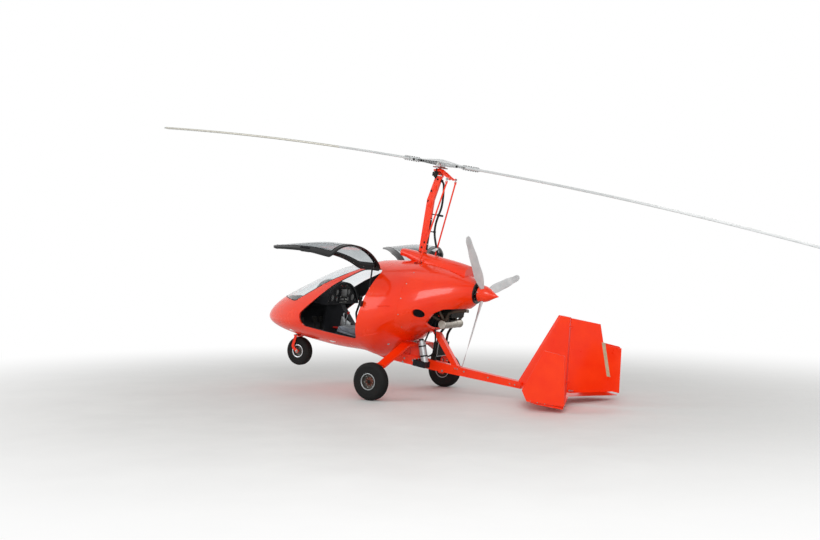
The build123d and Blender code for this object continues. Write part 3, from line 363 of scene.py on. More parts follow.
def oblong(width, height):
    """The corners of an upright rectangle about the origin."""
    x, y = width / 2, height / 2
    return [(-x, -y), (x, -y), (x, y), (-x, y)]


def block(bm, place, size, soft=2.0):
    """A block with softened edges, centred on the place matrix."""
    slab(bm, oblong(*size[:2]), place, size[2], soft)


def plate(bm, place, outline, corner, thickness, soft=1.0):
    """A slab whose corners are rounded to one radius."""
    slab(bm, [tuple(p) for p in rounded(outline, (corner,) * len(outline))], place, thickness, soft)


def bolt(bm, at, axis, across=13, height=8):
    """A hexagon head on its washer, standing along axis from at."""
    washer, r = 1.6, across / 2 / cos(pi / 6)
    lathe(bm, at, axis, [(-0.4, 0), (-0.4, across * 0.82), (washer, across * 0.82), (washer, 0)], 20)
    lathe(bm, at, axis, [(washer - 0.2, 0), (washer - 0.2, r), (washer + height * 0.85, r),
                         (washer + height, r * 0.84), (washer + height, 0)], 6)


def shift(x, y, z):
    """A matrix that moves by x, y and z."""
    return Matrix.Translation((x, y, z))


def upright(y):
    """A place whose XY lies in the aircraft's XZ plane, at a distance to starboard."""
    return Matrix(((1, 0, 0, 0), (0, 0, -1, y), (0, 1, 0, 0), (0, 0, 0, 1)))


def look_along(at, axis, up=(0, 0, 1)):
    """A matrix at a point whose Z runs along axis and whose Y is as near to up as it can be."""
    z = Vector(axis).normalized()
    y = Vector(up) - z * Vector(up).dot(z)
    if y.length < 1e-4:
        y = z.orthogonal()
    y.normalize()
    x = y.cross(z)
    return Matrix.Translation(at) @ Matrix((x, y, z)).transposed().to_4x4()


def rounded(points, radii, closed=True):
    """The corners of an outline rounded, as a dense list of points."""
    out, count = [], len(points)
    for i, (p, r) in enumerate(zip(points, radii)):
        p = Vector(p)
        if not closed and i in (0, count - 1):
            out.append(p)
            continue
        a, b = Vector(points[i - 1]) - p, Vector(points[(i + 1) % count]) - p
        half = a.angle(b) / 2
        back = min(r / tan(half), 0.49 * min(a.length, b.length))
        r = back * tan(half)
        start, end = p + a.normalized() * back, p + b.normalized() * back
        middle = p + (a.normalized() + b.normalized()).normalized() * (r / sin(half))
        first = start - middle
        turn = first.angle_signed(end - middle)
        parts = max(2, int(abs(turn) / 0.2))
        for k in range(parts + 1):
            t = -turn * k / parts
            out.append(middle + Vector((first.x * cos(t) - first.y * sin(t), first.x * sin(t) + first.y * cos(t))))
    return out


def spaced(points, gap, closed=True):
    """Points evenly spaced along a line."""
    ring = points + [points[0]] if closed else points
    lengths = [(b - a).length for a, b in zip(ring, ring[1:])]
    total = sum(lengths)
    count = max(2, int(total / gap))
    out, i, gone = [], 0, 0.0
    for k in range(count if closed else count + 1):
        want = total * k / count
        while i < len(lengths) - 1 and gone + lengths[i] < want:
            gone += lengths[i]
            i += 1
        t = 0 if lengths[i] == 0 else min(1, (want - gone) / lengths[i])
        out.append(ring[i].lerp(ring[i + 1], t))
    return out


def door_line(push=0):
    """The door's outline in its side view, pushed outward by millimetres."""
    door = spaced(rounded(DOOR_SIDE, DOOR_RADII), 14)
    if sum(a.cross(b) for a, b in zip(door, door[1:] + door[:1])) < 0:
        push = -push
    return [p + Vector((along.y, -along.x)) * push for p, along in zip(door, headings(door, loop=True))]


def tree_of(*meshes):
    """A tree for casting rays at some meshes."""
    verts, faces = [], []
    for mesh in meshes:
        start = len(verts)
        verts += [v.co.copy() for v in mesh.vertices]
        faces += [[start + k for k in p.vertices] for p in mesh.polygons]
    return BVHTree.FromPolygons(verts, faces)


class Skin:
    """The outsides of some frame nodes, for landing trim on them."""

    def __init__(self, *names):
        self.tree = tree_of(*(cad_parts[name].data for name in names))

    def land(self, at, direction, place=LEVEL):
        """Where a line through a place's point first meets the skin: the point and its outward normal."""
        ray = (place.to_3x3() @ Vector(direction)).normalized()
        hit, normal, _, _ = self.tree.ray_cast(place @ Vector(at), ray)
        if hit is None:
            return None, None
        if normal.dot(ray) > 0:
            normal = -normal
        back = place.inverted()
        return back @ hit, (back.to_3x3() @ normal).normalized()

    def beside(self, x, z, side, far=FAR, place=LEVEL):
        """Land straight in from one side."""
        return self.land((x, side * far, z), (0, -side, 0), place)


def met(landings):
    """The landings that met the skin."""
    return [(at, normal) for at, normal in landings if at is not None]


def put(name, bm, finish, body="airframe", place=LEVEL, smooth=38):
    """Place a mesh, finish it and let it ride on a body."""
    bmesh.ops.recalc_face_normals(bm, faces=bm.faces)
    bm.transform(place)
    return add(name, to_mesh(name, bm, smooth), finish, body)


def to_mesh(name, bm, smooth=None):
    """A smooth mesh, with edges sharper than an angle kept sharp."""
    for face in bm.faces:
        face.smooth = True
    mesh = bpy.data.meshes.new(name)
    bm.to_mesh(mesh)
    bm.free()
    if smooth:
        mesh.set_sharp_from_angle(angle=radians(smooth))
    return mesh


def linked(name, data):
    """A new object, linked to the scene."""
    made = bpy.data.objects.new(name, data)
    bpy.context.scene.collection.objects.link(made)
    return made


def add(name, data, finish, body):
    """Add an object in one finish that rides on a body."""
    data.materials.append(stuff(finish))
    made = linked(name, data)
    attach(made, body)
    return made


def piece(name, finish, body="airframe", place=LEVEL, smooth=38):
    """Make a piece with the function below, which draws into a mesh."""
    def make(draw):
        bm = bmesh.new()
        draw(bm)
        return put(name, bm, finish, body, place, smooth)
    return make


def pair(*details, **more):
    """Make a piece with the function below, which draws starboard, 1, and then port, -1."""
    return lambda draw: piece(*details, **more)(lambda bm: [draw(bm, side) for side in (1, -1)])


def hose(name, points, radius, finish, body="airframe"):
    """A flexible hose or cable on one smooth line through the air between its clamps."""
    curve = bpy.data.curves.new(name, "CURVE")
    curve.dimensions = "3D"
    curve.bevel_depth = radius / 1000
    curve.bevel_resolution = 4
    curve.use_fill_caps = True
    line = curve.splines.new("NURBS")
    line.points.add(len(points) - 1)
    for point, at in zip(line.points, points):
        point.co = (*(LEVEL @ Vector(at)), 1)
    line.order_u = 3
    line.use_endpoint_u = True
    line.resolution_u = 8
    return add(name, curve, finish, body)


class GyroLook(bpy.types.PropertyGroup):
    """The sizes and colours of the dressing that a user would change."""

    body_tone: FloatVectorProperty(
        name="Body colour", description="Lit tone of the painted pod, mast and tail",
        subtype="COLOR", size=3, min=0, max=1, default=linear("#FF3C06")[:3])
    body_shade: FloatVectorProperty(
        name="Body shade", description="Darker tone that the paint drifts to",
        subtype="COLOR", size=3, min=0, max=1, default=linear("#F72E06")[:3])
    smoke_tone: FloatVectorProperty(
        name="Door glass tint", description="Darker tone of the doors' smoked acrylic",
        subtype="COLOR", size=3, min=0, max=1, default=linear("#BDC2C5")[:3])
    thread: FloatProperty(
        name="Seat thread", description="Spacing of the upholstery's threads, in mm",
        default=3.0, min=0.5, max=8)
    puff: FloatProperty(
        name="Cushion puff", description="Most that a cushion's face may swell",
        default=0.009, min=0.0, max=0.02, unit="LENGTH")
    seal_radius: FloatProperty(
        name="Door seal radius", description="Radius of the bulb seal round each doorway",
        default=0.0032, min=0.002, max=0.004, unit="LENGTH")
    tyre_grooves: IntProperty(
        name="Tyre grooves", description="Grooves round each main tyre's tread", default=4, min=2, max=6)
    groove_depth: FloatProperty(
        name="Groove depth", description="Depth of the main tyres' grooves",
        default=0.006, min=0.001, max=0.01, unit="LENGTH")
    fin_count: IntProperty(
        name="Cooling fins", description="Fins round each engine cylinder", default=11, min=4, max=16)
    panel_dials: IntProperty(
        name="Dial marks", description="Printed marks round each large dial", default=24, min=8, max=48)


# The finish of each frame node
NODE_FINISH = {
    "gelcoat_orange": ("cabin_shell", "engine_cowl", "spine_fairing", "spinner"),
    "powder_orange": ("keel_boom", "gear_bow", "stabiliser", "end_plates", "fin", "mast", "nose_fork",
                      "rudder", "rotor_head", "rotor_tower", "control_rod_left", "control_rod_right"),
    "acrylic_clear": ("windscreen",),
    "acrylic_smoke": ("door_glass_left", "door_glass_right"),
    "gelcoat_black": ("prop_ring", "door_brackets", "door_frame_left", "door_frame_right"),
    "abs_black": ("bulkheads", "instrument_panel", "seats", "battery_box", "spring_cylinder_left",
                  "spring_cylinder_right"),
    "carpet": ("cabin_floor",),
    "upholstery": ("seat_cushions",),
    "rubber": ("tyre_left", "tyre_right", "nose_tyre", "tail_wheel"),
    "rim_dark": ("rim_left", "rim_right", "nose_rim"),
    "anodised": ("oil_canister", "gimbal", "rod_eye_left", "rod_eye_right"),
    "blade_white": ("rotor_blades", "hub_bar"),
    "prop_pale": ("propeller",),
    "engine_black": ("engine_block", "radiator"),
    "exhaust": ("muffler",),
    "chrome": ("spring_rod_left", "spring_rod_right"),
}


def dress_nodes():
    """Give every frame node its finish."""
    finish_of = {n: key for key, names in NODE_FINISH.items() for n in names}
    for name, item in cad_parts.items():
        if name not in finish_of:
            raise RuntimeError("no finish for " + name)
        if not item.material_slots:
            item.data.materials.append(stuff(finish_of[name]))
        for place in item.material_slots:
            place.material = stuff(finish_of[name])


def screen_line(skin, side):
    """Points and normals along the windscreen's lower edge, from its tip to the roof."""
    out = []
    line = spaced(rounded(SCREEN_SIDE, SCREEN_RADII, closed=False), 3, closed=False)
    for at, normal in met(skin.beside(p.x, p.y, side) for p in line):
        if at.y * side > 6 and (not out or (at - out[-1][0]).length > 12):
            out.append((at, normal))
    return out


def lining(name, source, finish):
    """A thin skin just inside the faces of a frame node that look at the cabin's middle line: trim in the cabin,
    painted shade inside the engine cowl.
    """
    bm = bmesh.new()
    bm.from_mesh(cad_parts[source].data)
    bm.transform(UNLEVEL)
    bmesh.ops.remove_doubles(bm, verts=bm.verts, dist=0.02)
    bm.normal_update()
    low, high = Vector((-1400, 0, 620)), Vector((500, 0, 1180))
    away = []
    for face in bm.faces:
        middle = face.calc_center_median()
        t = min(1, max(0, (middle - low).dot(high - low) / (high - low).length_squared))
        if face.normal.dot((middle - low.lerp(high, t)).normalized()) > -0.35:
            away.append(face)
    bmesh.ops.delete(bm, geom=away, context="FACES")
    bm.normal_update()
    for vertex in bm.verts:
        vertex.co += vertex.normal * 1.6
    bm.transform(LEVEL)
    add(name, to_mesh(name, bm), finish, "airframe")


def duct_ring(shell, side, grow, sink):
    """Points round a duct's mouth on the skin, grown outward and sunk inward by millimetres."""
    out = []
    for x, y in circle(48):
        at, normal = shell.beside(DUCT_X + 59 * x, DUCT_Z + 50 * y, side)
        inward = Vector((DUCT_X, at.y, DUCT_Z)) - at
        inward = (inward - normal * inward.dot(normal)).normalized()
        out.append((at + inward * (4 - grow) - normal * sink, normal))
    return out


def pod_trim():
    """Seals, seam screws, outlets and recesses on the pod."""
    shell = Skin("cabin_shell", "windscreen", "engine_cowl")
    lining("cabin_lining", "cabin_shell", "carpet")
    # The black skin inside the engine cowl is painted shade, standing for the dark of the engine bay
    lining("cowl_painted_shade_skin", "engine_cowl", "engine_black")

    @piece("windscreen_seal", "epdm")
    def draw(bm):
        right, left = screen_line(shell, 1), screen_line(shell, -1)
        roof = shell.land(((right[-1][0].x + left[-1][0].x) / 2, 0, ABOVE), -Z)
        tip = shell.land((right[0][0].x - 2, 0, ABOVE), -Z)
        strip(bm, [tip] + right + [roof] + left[::-1],
              [(-6, -1.5), (-5.4, 1.2), (-3, 2), (3, 2), (5.4, 1.2), (6, -1.5)], loop=True)

    @pair("doorway_seals", "epdm")
    def draw(bm, side):
        centres = []
        for p, q in zip(door_line(), door_line(7)):
            for at, normal in met([shell.beside(q.x, q.y, side)]):
                out = Vector((q.x - p.x, 0, q.y - p.y)).normalized()
                out = (out - normal * out.dot(normal)).normalized()
                centres.append(at - normal * 11 - out * 3)
        tube(bm, centres, bpy.context.scene.gyro_look.seal_radius * 1000, 10, loop=True)

    @pair("seam_screws", "zinc")
    def draw(bm, side):
        ways = [Vector((0, side * cos(radians(a)), sin(radians(a)))) for a in (-24, -6, 12, 30, 48, 66)]
        for at, normal in met(shell.land(Vector((78, 0, 1000)) + way * 1000, -way) for way in ways):
            lathe(bm, at, normal, [(-1, 0), (-1, 6), (0.7, 6), (1.4, 5), (1.4, 2.2), (0.8, 1.8), (0.8, 0)], 20)

    @pair("duct_liners", "abs_black")
    def draw(bm, side):
        bridge(bm, [[bm.verts.new(p) for p, _ in duct_ring(shell, side, grow, sink)] for grow, sink in
                    ((-1.5, 3), (-1.5, 34), (-12, 52), (-12, 54), (-0.2, 34), (-0.2, 3))], loop=True)
        middle = sum((p for p, _ in duct_ring(shell, side, -3, 30)), Vector()) / 48
        out = sum((n for _, n in duct_ring(shell, side, 0, 0)), Vector()).normalized()
        place = look_along(middle, out)
        for k in range(-5, 6):
            half = 46 * sqrt(max(0.05, 1 - (k * 8 / 42) ** 2))
            tube(bm, [place @ Vector((x, k * 8, 0)) for x in (-half, half)], 1.5, 6)
            half = 42 * sqrt(max(0.05, 1 - (k * 9 / 50) ** 2))
            tube(bm, [place @ Vector((k * 9, y, 2)) for y in (-half, half)], 1.5, 6)

    @pair("duct_backs", "carpet")
    def draw(bm, side):
        ring = [bm.verts.new(p) for p, _ in duct_ring(shell, side, -11, 52)]
        bridge(bm, [ring, [bm.verts.new(sum((v.co for v in ring), Vector()) / len(ring))]])

    @pair("duct_rims", "gelcoat_orange")
    def draw(bm, side):
        strip(bm, duct_ring(shell, side, 3, 0), [(-4, -1), (-3, 1.8), (-1, 2.6), (2, 2), (4, -1)], loop=True)

    # Raised lines on the skin: where each starts, how far it runs, its steps and its section
    for name, x, z, dx, dz, steps, profile in (
        ("catch_recesses", -174, 989, 155, 28, 5, [(-7, -1), (-5.5, 1.2), (3.5, 7), (6, 6), (6.5, -1)]),
        ("body_lines", -395, 595, 290, 109, 8, [(-4, -0.6), (-2.5, 2.2), (2.5, 2.2), (4, -0.6)]),
    ):
        @pair(name, "gelcoat_orange")
        def draw(bm, side):
            strip(bm, [shell.beside(x + dx * k / steps, z + dz * k / steps, side) for k in range(steps + 1)], profile)

    @pair("filler_caps", "aluminium")
    def draw(bm, side):
        lathe(bm, *shell.beside(-126, 559, side), [(-2, 0), (-2, 15), (1, 15), (3, 13), (3.6, 8), (3.6, 0)], 28)

    @pair("step_fairings", "white_nylon")
    def draw(bm, side):
        for x, z, long in ((-860, 444, 46), (-1480, 452, 34)):
            for at, normal in met([shell.beside(x, z, side)]):
                across = normal.cross(X).normalized()
                bridge(bm, [[bm.verts.new(at + X * long * t + (across * c * 9 + normal * s * 11) * r)
                             for c, s in (circle(12) if r else [(0, 0)])] for t, r in
                            ((-1, 0), (-0.8, 0.55), (-0.4, 0.9), (0, 1), (0.5, 0.8), (0.9, 0.4), (1, 0))])


def door_trim():
    """Glass beads, latches, grab handles, screws and hinge bolts of the doors."""
    for side, word in SIDES:
        # the doors are drawn shut and then swung open
        pivot, body = shift(0, side * HINGE_Y, HINGE_Z), "door_" + word
        place = LEVEL @ pivot @ Matrix.Rotation(side * radians(DOOR_OPEN), 4, "X") @ pivot.inverted()
        rail = Skin("door_frame_" + word)

        @piece("door_glass_bead_" + word, "epdm", body, place)
        def draw(bm):
            strip(bm, met(rail.beside(p.x, p.y, side, 1400, place) for p in door_line(-46)),
                  [(-4.5, -1), (-3.8, 1.6), (-1, 2.4), (2, 2.2), (4.5, -1)], loop=True)

        @piece("door_screws_" + word, "zinc", body, place)
        def draw(bm):
            for at, normal in met(rail.land((p.x, 0, p.y), Y * side, place) for p in spaced(door_line(-28), 118)):
                lathe(bm, at, normal, [(-0.6, 0), (-0.6, 5), (1.2, 4.6), (1.6, 2.4), (0.9, 2.2), (0.9, 0)], 16)

        @piece("door_handle_" + word, "abs_black", body, place)
        def draw(bm):
            at, normal = rail.beside(-820, 588, side, place=place)
            base = look_along(at, normal)
            plate(bm, base @ shift(0, 0, 1), oblong(132, 30), 14, 6, 1.6)
            plate(bm, base @ shift(-9, 0, 6), oblong(86, 16), 7, 7, 2.2)
            lathe(bm, base @ Vector((46, 0, 3)), normal, [(0, 0), (0, 9), (4, 9), (5.5, 7.5), (5.5, 0)], 24)

        @piece("door_latches_" + word, "abs_black", body, place)
        def draw(bm):
            for at, normal in met(rail.land((x, 0, 600), Y * side, place) for x in (-1190, -500)):
                base = look_along(at, normal)
                block(bm, base @ shift(0, 0, 7), (34, 26, 16), 2.5)
                tube(bm, [base @ Vector((0, y, 8)) for y in (10, -24)], 4.5, 12)
            base = look_along(*rail.land((-820, 0, 586), Y * side, place))
            tube(bm, [base @ Vector((x, 0, z)) for x, z in
                      ((-70, -1), (-66, 16), (-52, 24), (52, 24), (66, 16), (70, -1))], 6.5, 12)

    @pair("hinge_bolts", "zinc")
    def draw(bm, side):
        for x in (-545, -375):
            bolt(bm, (x - 12.5, side * HINGE_Y, HINGE_Z), -X, 11, 6)


def dial(case, face, print_on, at, radius, marks, turn):
    """A panel dial facing aft: a bezel, a dark face, printed marks and a needle."""
    lathe(case, at, X, [(-2, radius + 5), (3, radius + 5), (6, radius + 3.4), (6.4, radius + 1), (3, radius),
                        (-2, radius)], 48, loop=True)
    lathe(face, at, X, [(0, 0), (0, radius + 1), (2, radius + 1), (2.4, radius - 1), (2.4, 0)], 48)
    base = look_along(Vector(at) + X * 2.7, X)
    for k in range(marks):
        a = radians(225 - 270 * k / (marks - 1))
        long = radius * (0.18 if k % 3 == 0 else 0.1)
        middle = radius * 0.92 - long / 2
        slab(print_on, oblong(long, 1),
             base @ shift(middle * cos(a), middle * sin(a), 0) @ Matrix.Rotation(a, 4, "Z"), 0.5)
    slab(print_on, [(-radius * 0.2, -1.6), (radius * 0.5, -1.2), (radius * 0.78, 0), (radius * 0.5, 1.2),
                    (-radius * 0.2, 1.6)], base @ Matrix.Rotation(radians(turn), 4, "Z") @ shift(0, 0, 0.8), 0.7)


def cockpit():
    """Dials and screens on the panel, the stick's grip, levers, pedals and lamps."""
    marks = bpy.context.scene.gyro_look.panel_dials
    layers = [bmesh.new() for _ in range(3)]
    for y, z, radius, left_turn, right_turn in ((206, 902, 38, 140, 60), (118, 968, 34, 100, 30),
                                                (112, 884, 24, 80, 150), (272, 868, 17, 40, 120)):
        for side, turn in ((-1, left_turn), (1, right_turn)):
            dial(*layers, (PANEL_X, side * y, z), radius, marks if radius > 30 else 13, turn)
    for bm, name, finish in zip(layers, ("dial_bezels", "dial_faces", "dial_marks"), ("abs_black", "display", "ink")):
        put(name, bm, finish)

    def facing(bm, *blocks):
        """Blocks that face aft: how far off the panel, y, z, size and softness."""
        for off, y, z, size, soft in blocks:
            block(bm, look_along((PANEL_X + off, y, z), X), size, soft)

    @piece("panel_cases", "abs_black")
    def draw(bm):
        facing(bm, (5, 0, 962, (142, 104, 12), 3), (4, 0, 884, (150, 34, 10), 2.5), (4, 0, 850, (150, 22, 10), 2.5))

    @piece("panel_screens", "display")
    def draw(bm):
        facing(bm, (11.4, 0, 966, (124, 78, 1.6), 0.5), (9.4, -20, 885, (86, 20, 1.4), 0.4))

    @piece("panel_knobs", "zinc")
    def draw(bm):
        for k in range(6):
            lathe(bm, (PANEL_X + 10, -60 + 24 * k, 916), X, [(0, 0), (0, 4), (4, 4), (5, 3), (5, 0)], 16)
        for y in (46, 64):
            lathe(bm, (PANEL_X + 9, y, 884), X, [(0, 0), (0, 7.5), (9, 7), (11, 5.6), (11, 0)], 20)
        for y in range(-62, 65, 18):
            lathe(bm, (PANEL_X + 8, y, 850), X, [(0, 0), (0, 4), (6, 4), (6, 0)], 14)
            tube(bm, [(PANEL_X + 14, y, 850), (PANEL_X + 26, y, 856)], [1.8, 2.8], 10)

    @pair("panel_screws", "zinc")
    def draw(bm, side):
        for y, z in ((296, 852), (180, 1022), (60, 1052)):
            lathe(bm, (PANEL_X, side * y, z), X, [(-1, 0), (-1, 5), (1.6, 4.4), (2, 0)], 14)

    @piece("stick_grip", "epdm")
    def draw(bm):
        lathe(bm, (-801, 0, 862), Z,
              [(0, 13), (0, 17), (4, 19), (14, 16.5), (26, 18), (38, 16.5), (50, 18.5), (62, 17.5), (74, 21),
               (88, 23), (100, 20), (106, 12), (107, 0)], 28)
        tube(bm, [(-801, 0, 950), (-816, 0, 954), (-824, 0, 946)], [7, 6, 4], 12)

    @piece("stick_gaiter", "epdm")
    def draw(bm):
        lathe(bm, (-790, 0, 606), (-0.02, 0, 1),
              [(0, 44), (4, 46), (8, 40), (14, 43), (20, 36), (26, 39), (32, 31), (38, 34), (46, 25), (52, 27),
               (62, 18), (70, 13.5), (72, 11)], 36)

    @piece("throttle_quadrant", "anodised")
    def draw(bm):
        plate(bm, upright(-47.5), [(-1000, 588), (-860, 588), (-860, 640), (-1000, 700)], 8, 5, 1.2)
        for y, x, z in ((-54, -905, 742), (-62, -962, 724)):
            tube(bm, [(-930, y, 610), ((-930 + x) / 2 - 4, y, 680), (x, y, z)], 5, 12)

    @piece("red_grips", "red_plastic")
    def draw(bm):
        lathe(bm, (-905, -54, 738), (0.1, 0, 1), [(-4, 0), (-4, 8), (4, 14), (16, 16), (28, 13), (34, 0)], 24)
        tube(bm, [(-1082, -66, 548), (-1040, -66, 552), (-960, -66, 560), (-884, -66, 566)], [9, 12, 12, 9], 16)

    @piece("brake_lever", "aluminium")
    def draw(bm):
        tube(bm, [(-884, -62, 566), (-840, -58, 574), (-800, -50, 588), (-780, -38, 600)], 6, 12)
        tube(bm, [(-962, -62, 716), (-958, -62, 742)], [11, 9], 16)

    @pair("rudder_pedals", "engine_black")
    def draw(bm, side):
        for y in (130, 250):
            foot, lean = Vector((-1480, side * y, 432)), (1, 0, 0.35)
            tube(bm, [foot, foot + Vector((-14, 0, 60)), foot + Vector((-26, 0, 118))], 7, 12)
            plate(bm, look_along(foot + Vector((-20, 0, 122)), lean), oblong(84, 68), 10, 6, 1.5)
            for k in range(-2, 3):
                block(bm, look_along(foot + Vector((-16.6 - 3.6 * k, 0, 123.2 + 11 * k)), lean), (70, 4, 3), 1)
            lathe(bm, foot + Vector((0, -14, 6)), Y, [(0, 0), (0, 11), (28, 11), (28, 0)], 20)

    @pair("warning_lamps", "red_plastic")
    def draw(bm, side):
        lathe(bm, (PANEL_X + 2, side * 30, 1040), X, [(-2, 0), (-2, 5), (2, 5), (4, 3.6), (4.6, 0)], 16)


# Each cushion's outline in its side view, and its open face
CUSHIONS = {
    "pan": ((-798, 569), (-798, 638), (-395, 604), (-376, 548)),
    "back": ((-378, 609), (-438, 622), (-325, 1118), (-238, 1126), (-360, 605)),
}
FACES = {"pan": ((-798, 638), (-395, 604)), "back": ((-438, 622), (-325, 1118))}
CUSHION_ROWS = {"pan": 5, "back": 6}
CUSHION_HALF, SEAT_Y = 178, 245     # half a cushion's width, and how far out its middle is
SEATED, CROWN = -34, -14            # depths below the open face: what keeps to the seat, what is sewn
STRAP_Y, BUCKLE_AT = 62, 330        # a shoulder strap's place across the back, the buckle's along the pan


def cushion_face(part):
    """Where a cushion's open face starts, how long it is, and the directions along it and out of it."""
    a, b = (Vector(p) for p in FACES[part])
    along = (b - a).normalized()
    return a, (b - a).length, along, Vector((-along.y, along.x))


def dip(distance, width):
    """A smooth dip, 1 in its middle."""
    return 2.718 ** -((distance / width) ** 2)


def bake(made):
    """Turn an object's modifiers into its mesh."""
    graph = bpy.context.evaluated_depsgraph_get()
    shape = bpy.data.meshes.new_from_object(made.evaluated_get(graph), depsgraph=graph)
    made.modifiers.clear()
    made.data = shape


def puff_up(made):
    """Swell a closed mesh by cloth under pressure."""
    cloth = made.modifiers.new("Puff", "CLOTH")
    cloth.settings.quality = 5
    cloth.settings.mass = 0.3
    cloth.settings.use_pressure = True
    cloth.settings.uniform_pressure_force = 4
    cloth.settings.tension_stiffness = cloth.settings.compression_stiffness = 18
    cloth.settings.bending_stiffness = 0.6
    cloth.settings.effector_weights.gravity = 0
    cloth.collision_settings.use_collision = False
    for step in range(1, 21):
        bpy.context.scene.frame_set(step)
    bake(made)
    bpy.context.scene.frame_set(1)


def cushion(part, side):
    """A padded cushion: its block softened, puffed up by cloth under pressure, then sewn with channels."""
    puff, outline = bpy.context.scene.gyro_look.puff, CUSHIONS[part]
    bm = bmesh.new()
    middle = sum((Vector(p) for p in outline), Vector((0, 0))) / len(outline)
    slab(bm, [tuple(middle + (Vector(p) - middle) * 0.975) for p in outline], upright(side * SEAT_Y),
         2 * CUSHION_HALF - 12)
    bmesh.ops.recalc_face_normals(bm, faces=bm.faces)
    bmesh.ops.bevel(bm, geom=list(bm.edges), offset=11, segments=3, affect="EDGES", profile=0.55,
                    clamp_overlap=True)
    bm.transform(LEVEL)
    made = linked("seat_" + part + "_cushion_" + dict(SIDES)[side], to_mesh("pad", bm))
    remesh = made.modifiers.new("Skin", "REMESH")
    remesh.mode = "VOXEL"
    remesh.voxel_size = 0.007
    bake(made)
    start = [v.co.copy() for v in made.data.vertices]
    puff_up(made)
    a, long, along, out = cushion_face(part)
    rows = CUSHION_ROWS[part]
    for vertex, was in zip(made.data.vertices, start):
        move = vertex.co - was
        if move.length > puff:
            move *= puff / move.length
        level, was = UNLEVEL @ (was + move), UNLEVEL @ was
        # the side that lies on the seat stays where it was
        depth = (Vector((was.x, was.z)) - a).dot(out)
        if depth < SEATED:
            level = level.lerp(was, min(1, (SEATED - depth) / 14))
        level.y = min(max(level.y, side * SEAT_Y - CUSHION_HALF + 0.6), side * SEAT_Y + CUSHION_HALF - 0.6)
        # crown and sewn channels on the open face
        if depth > CROWN:
            u = (Vector((level.x, level.z)) - a).dot(along) / long
            v = (level.y - side * SEAT_Y) / CUSHION_HALF
            sink = sum(6.5 * dip((v - line) * CUSHION_HALF, 7) for line in (-0.5, 0.5))
            if abs(v) < 0.5:
                sink += sum(4.5 * dip((u - k / rows) * long, 6) for k in range(1, rows))
            level -= Vector((out.x, 0, out.y)) * min(sink, 8)
        vertex.co = LEVEL @ level
    smooth = made.modifiers.new("Smooth", "SUBSURF")
    smooth.levels = smooth.render_levels = 1
    bake(made)
    for face in made.data.polygons:
        face.use_smooth = True
    made.data.materials.clear()
    made.data.materials.append(stuff("upholstery"))
    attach(made, "airframe")
    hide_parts("seat_cushions")
    return made


def on_cushion(tree, part, side, u, v):
    """Where a spot along and across a cushion's face meets the padding, and the way out of it."""
    a, _, along, out = cushion_face(part)
    flat, away = a + along * u + out * 60, Vector((out.x, 0, out.y))
    hit, _, _, _ = tree.ray_cast(LEVEL @ Vector((flat.x, side * SEAT_Y + v, flat.y)), LEVEL.to_3x3() @ -away)
    return (None if hit is None else UNLEVEL @ hit), away


def seats():
    """The four cushions, their welted seams, and the straps and buckles that lie on them."""
    trees = {(part, side): tree_of(cushion(part, side).data) for side, _ in SIDES for part in ("pan", "back")}
    words = dict(SIDES)
    for (part, side), tree in trees.items():
        _, long, _, _ = cushion_face(part)

        @piece("seat_piping_" + part + "_" + words[side], "webbing")
        def draw(bm):
            x, y = 10, CUSHION_HALF - 14
            face = rounded([(x, -y), (long - x, -y), (long - x, y), (x, y)], (26,) * 4)
            line = met(on_cushion(tree, part, side, u, v) for u, v in spaced(face, 9))
            tube(bm, [p for p, _ in line], 2.6, 8, loop=True)

    for side, word in SIDES:
        def on(part, spots):
            return [(p + up * 1.6, up) for p, up in
                    met(on_cushion(trees[part, side], part, side, u, v) for u, v in spots)]

        @piece("seat_belts_" + word, "webbing")
        def draw(bm):
            lines = [on("back", [(u, v * (0.55 + 0.45 * u / 500)) for u in range(496, 90, -14)])
                     for v in (-STRAP_Y, STRAP_Y)]
            lines += [on("pan", [(BUCKLE_AT - 60 * sin(pi / 2 * t / 12), v * (24 + 136 * t / 12)) for t in range(13)])
                      for v in (-1, 1)]
            for line in lines:
                strip(bm, line, oblong(44, 1.8))

        (lap, lap_up), = on("pan", [(BUCKLE_AT, 0)])

        @piece("belt_buckles_" + word, "zinc")
        def draw(bm):
            block(bm, look_along(lap + lap_up * 4, lap_up, X), (62, 50, 11), 3)
            for at, up in on("back", [(250, -STRAP_Y * 0.78), (250, STRAP_Y * 0.78)]):
                block(bm, look_along(at + up * 2, up), (54, 30, 5), 1.5)

        @piece("belt_releases_" + word, "red_plastic")
        def draw(bm):
            block(bm, look_along(lap + lap_up * 10, lap_up, X), (36, 20, 3), 1)


def tyre(bm, centre, out, radius, half, bead, grooves, depth):
    """A tyre: beads, bulging walls with rings, and a grooved tread."""
    corner = min(44.5, half * 0.7)
    side = [(-half * 0.86, bead - 1), (-half * 0.93, bead + 3), (-half * 0.985, bead + 12), (-half, bead + 20),
            (-half, radius - corner - 10), (-half + 1.4, radius - corner - 8), (-half, radius - corner - 5)]
    side += [(-(half - corner) - corner * cos(pi / 2 * k / 8), radius - corner + corner * sin(pi / 2 * k / 8))
             for k in range(8)]
    flat = half - corner * 0.55
    crown = []
    for x in (-flat + 2 * flat / (grooves + 1) * (g + 1) for g in range(grooves)):
        crown += [(x - 4.5, radius), (x - 3, radius - depth), (x + 3, radius - depth), (x + 4.5, radius)]
    full = side + [p for p in crown if abs(p[0]) < half - corner * 0.5] + [(-x, r) for x, r in side[::-1]]
    # the shoulder's curve holds the outer grooves down to the tyre's own section
    shaped = []
    for x, r in full:
        over = abs(x) - (half - corner)
        limit = radius - corner + sqrt(max(0, corner ** 2 - over ** 2)) if over > 0 else radius
        shaped.append((x, min(r, limit) if r > radius - depth - 0.1 else r))
    lathe(bm, centre, out, shaped + [(half * 0.8, bead + 2), (-half * 0.8, bead + 2)], 96, loop=True)


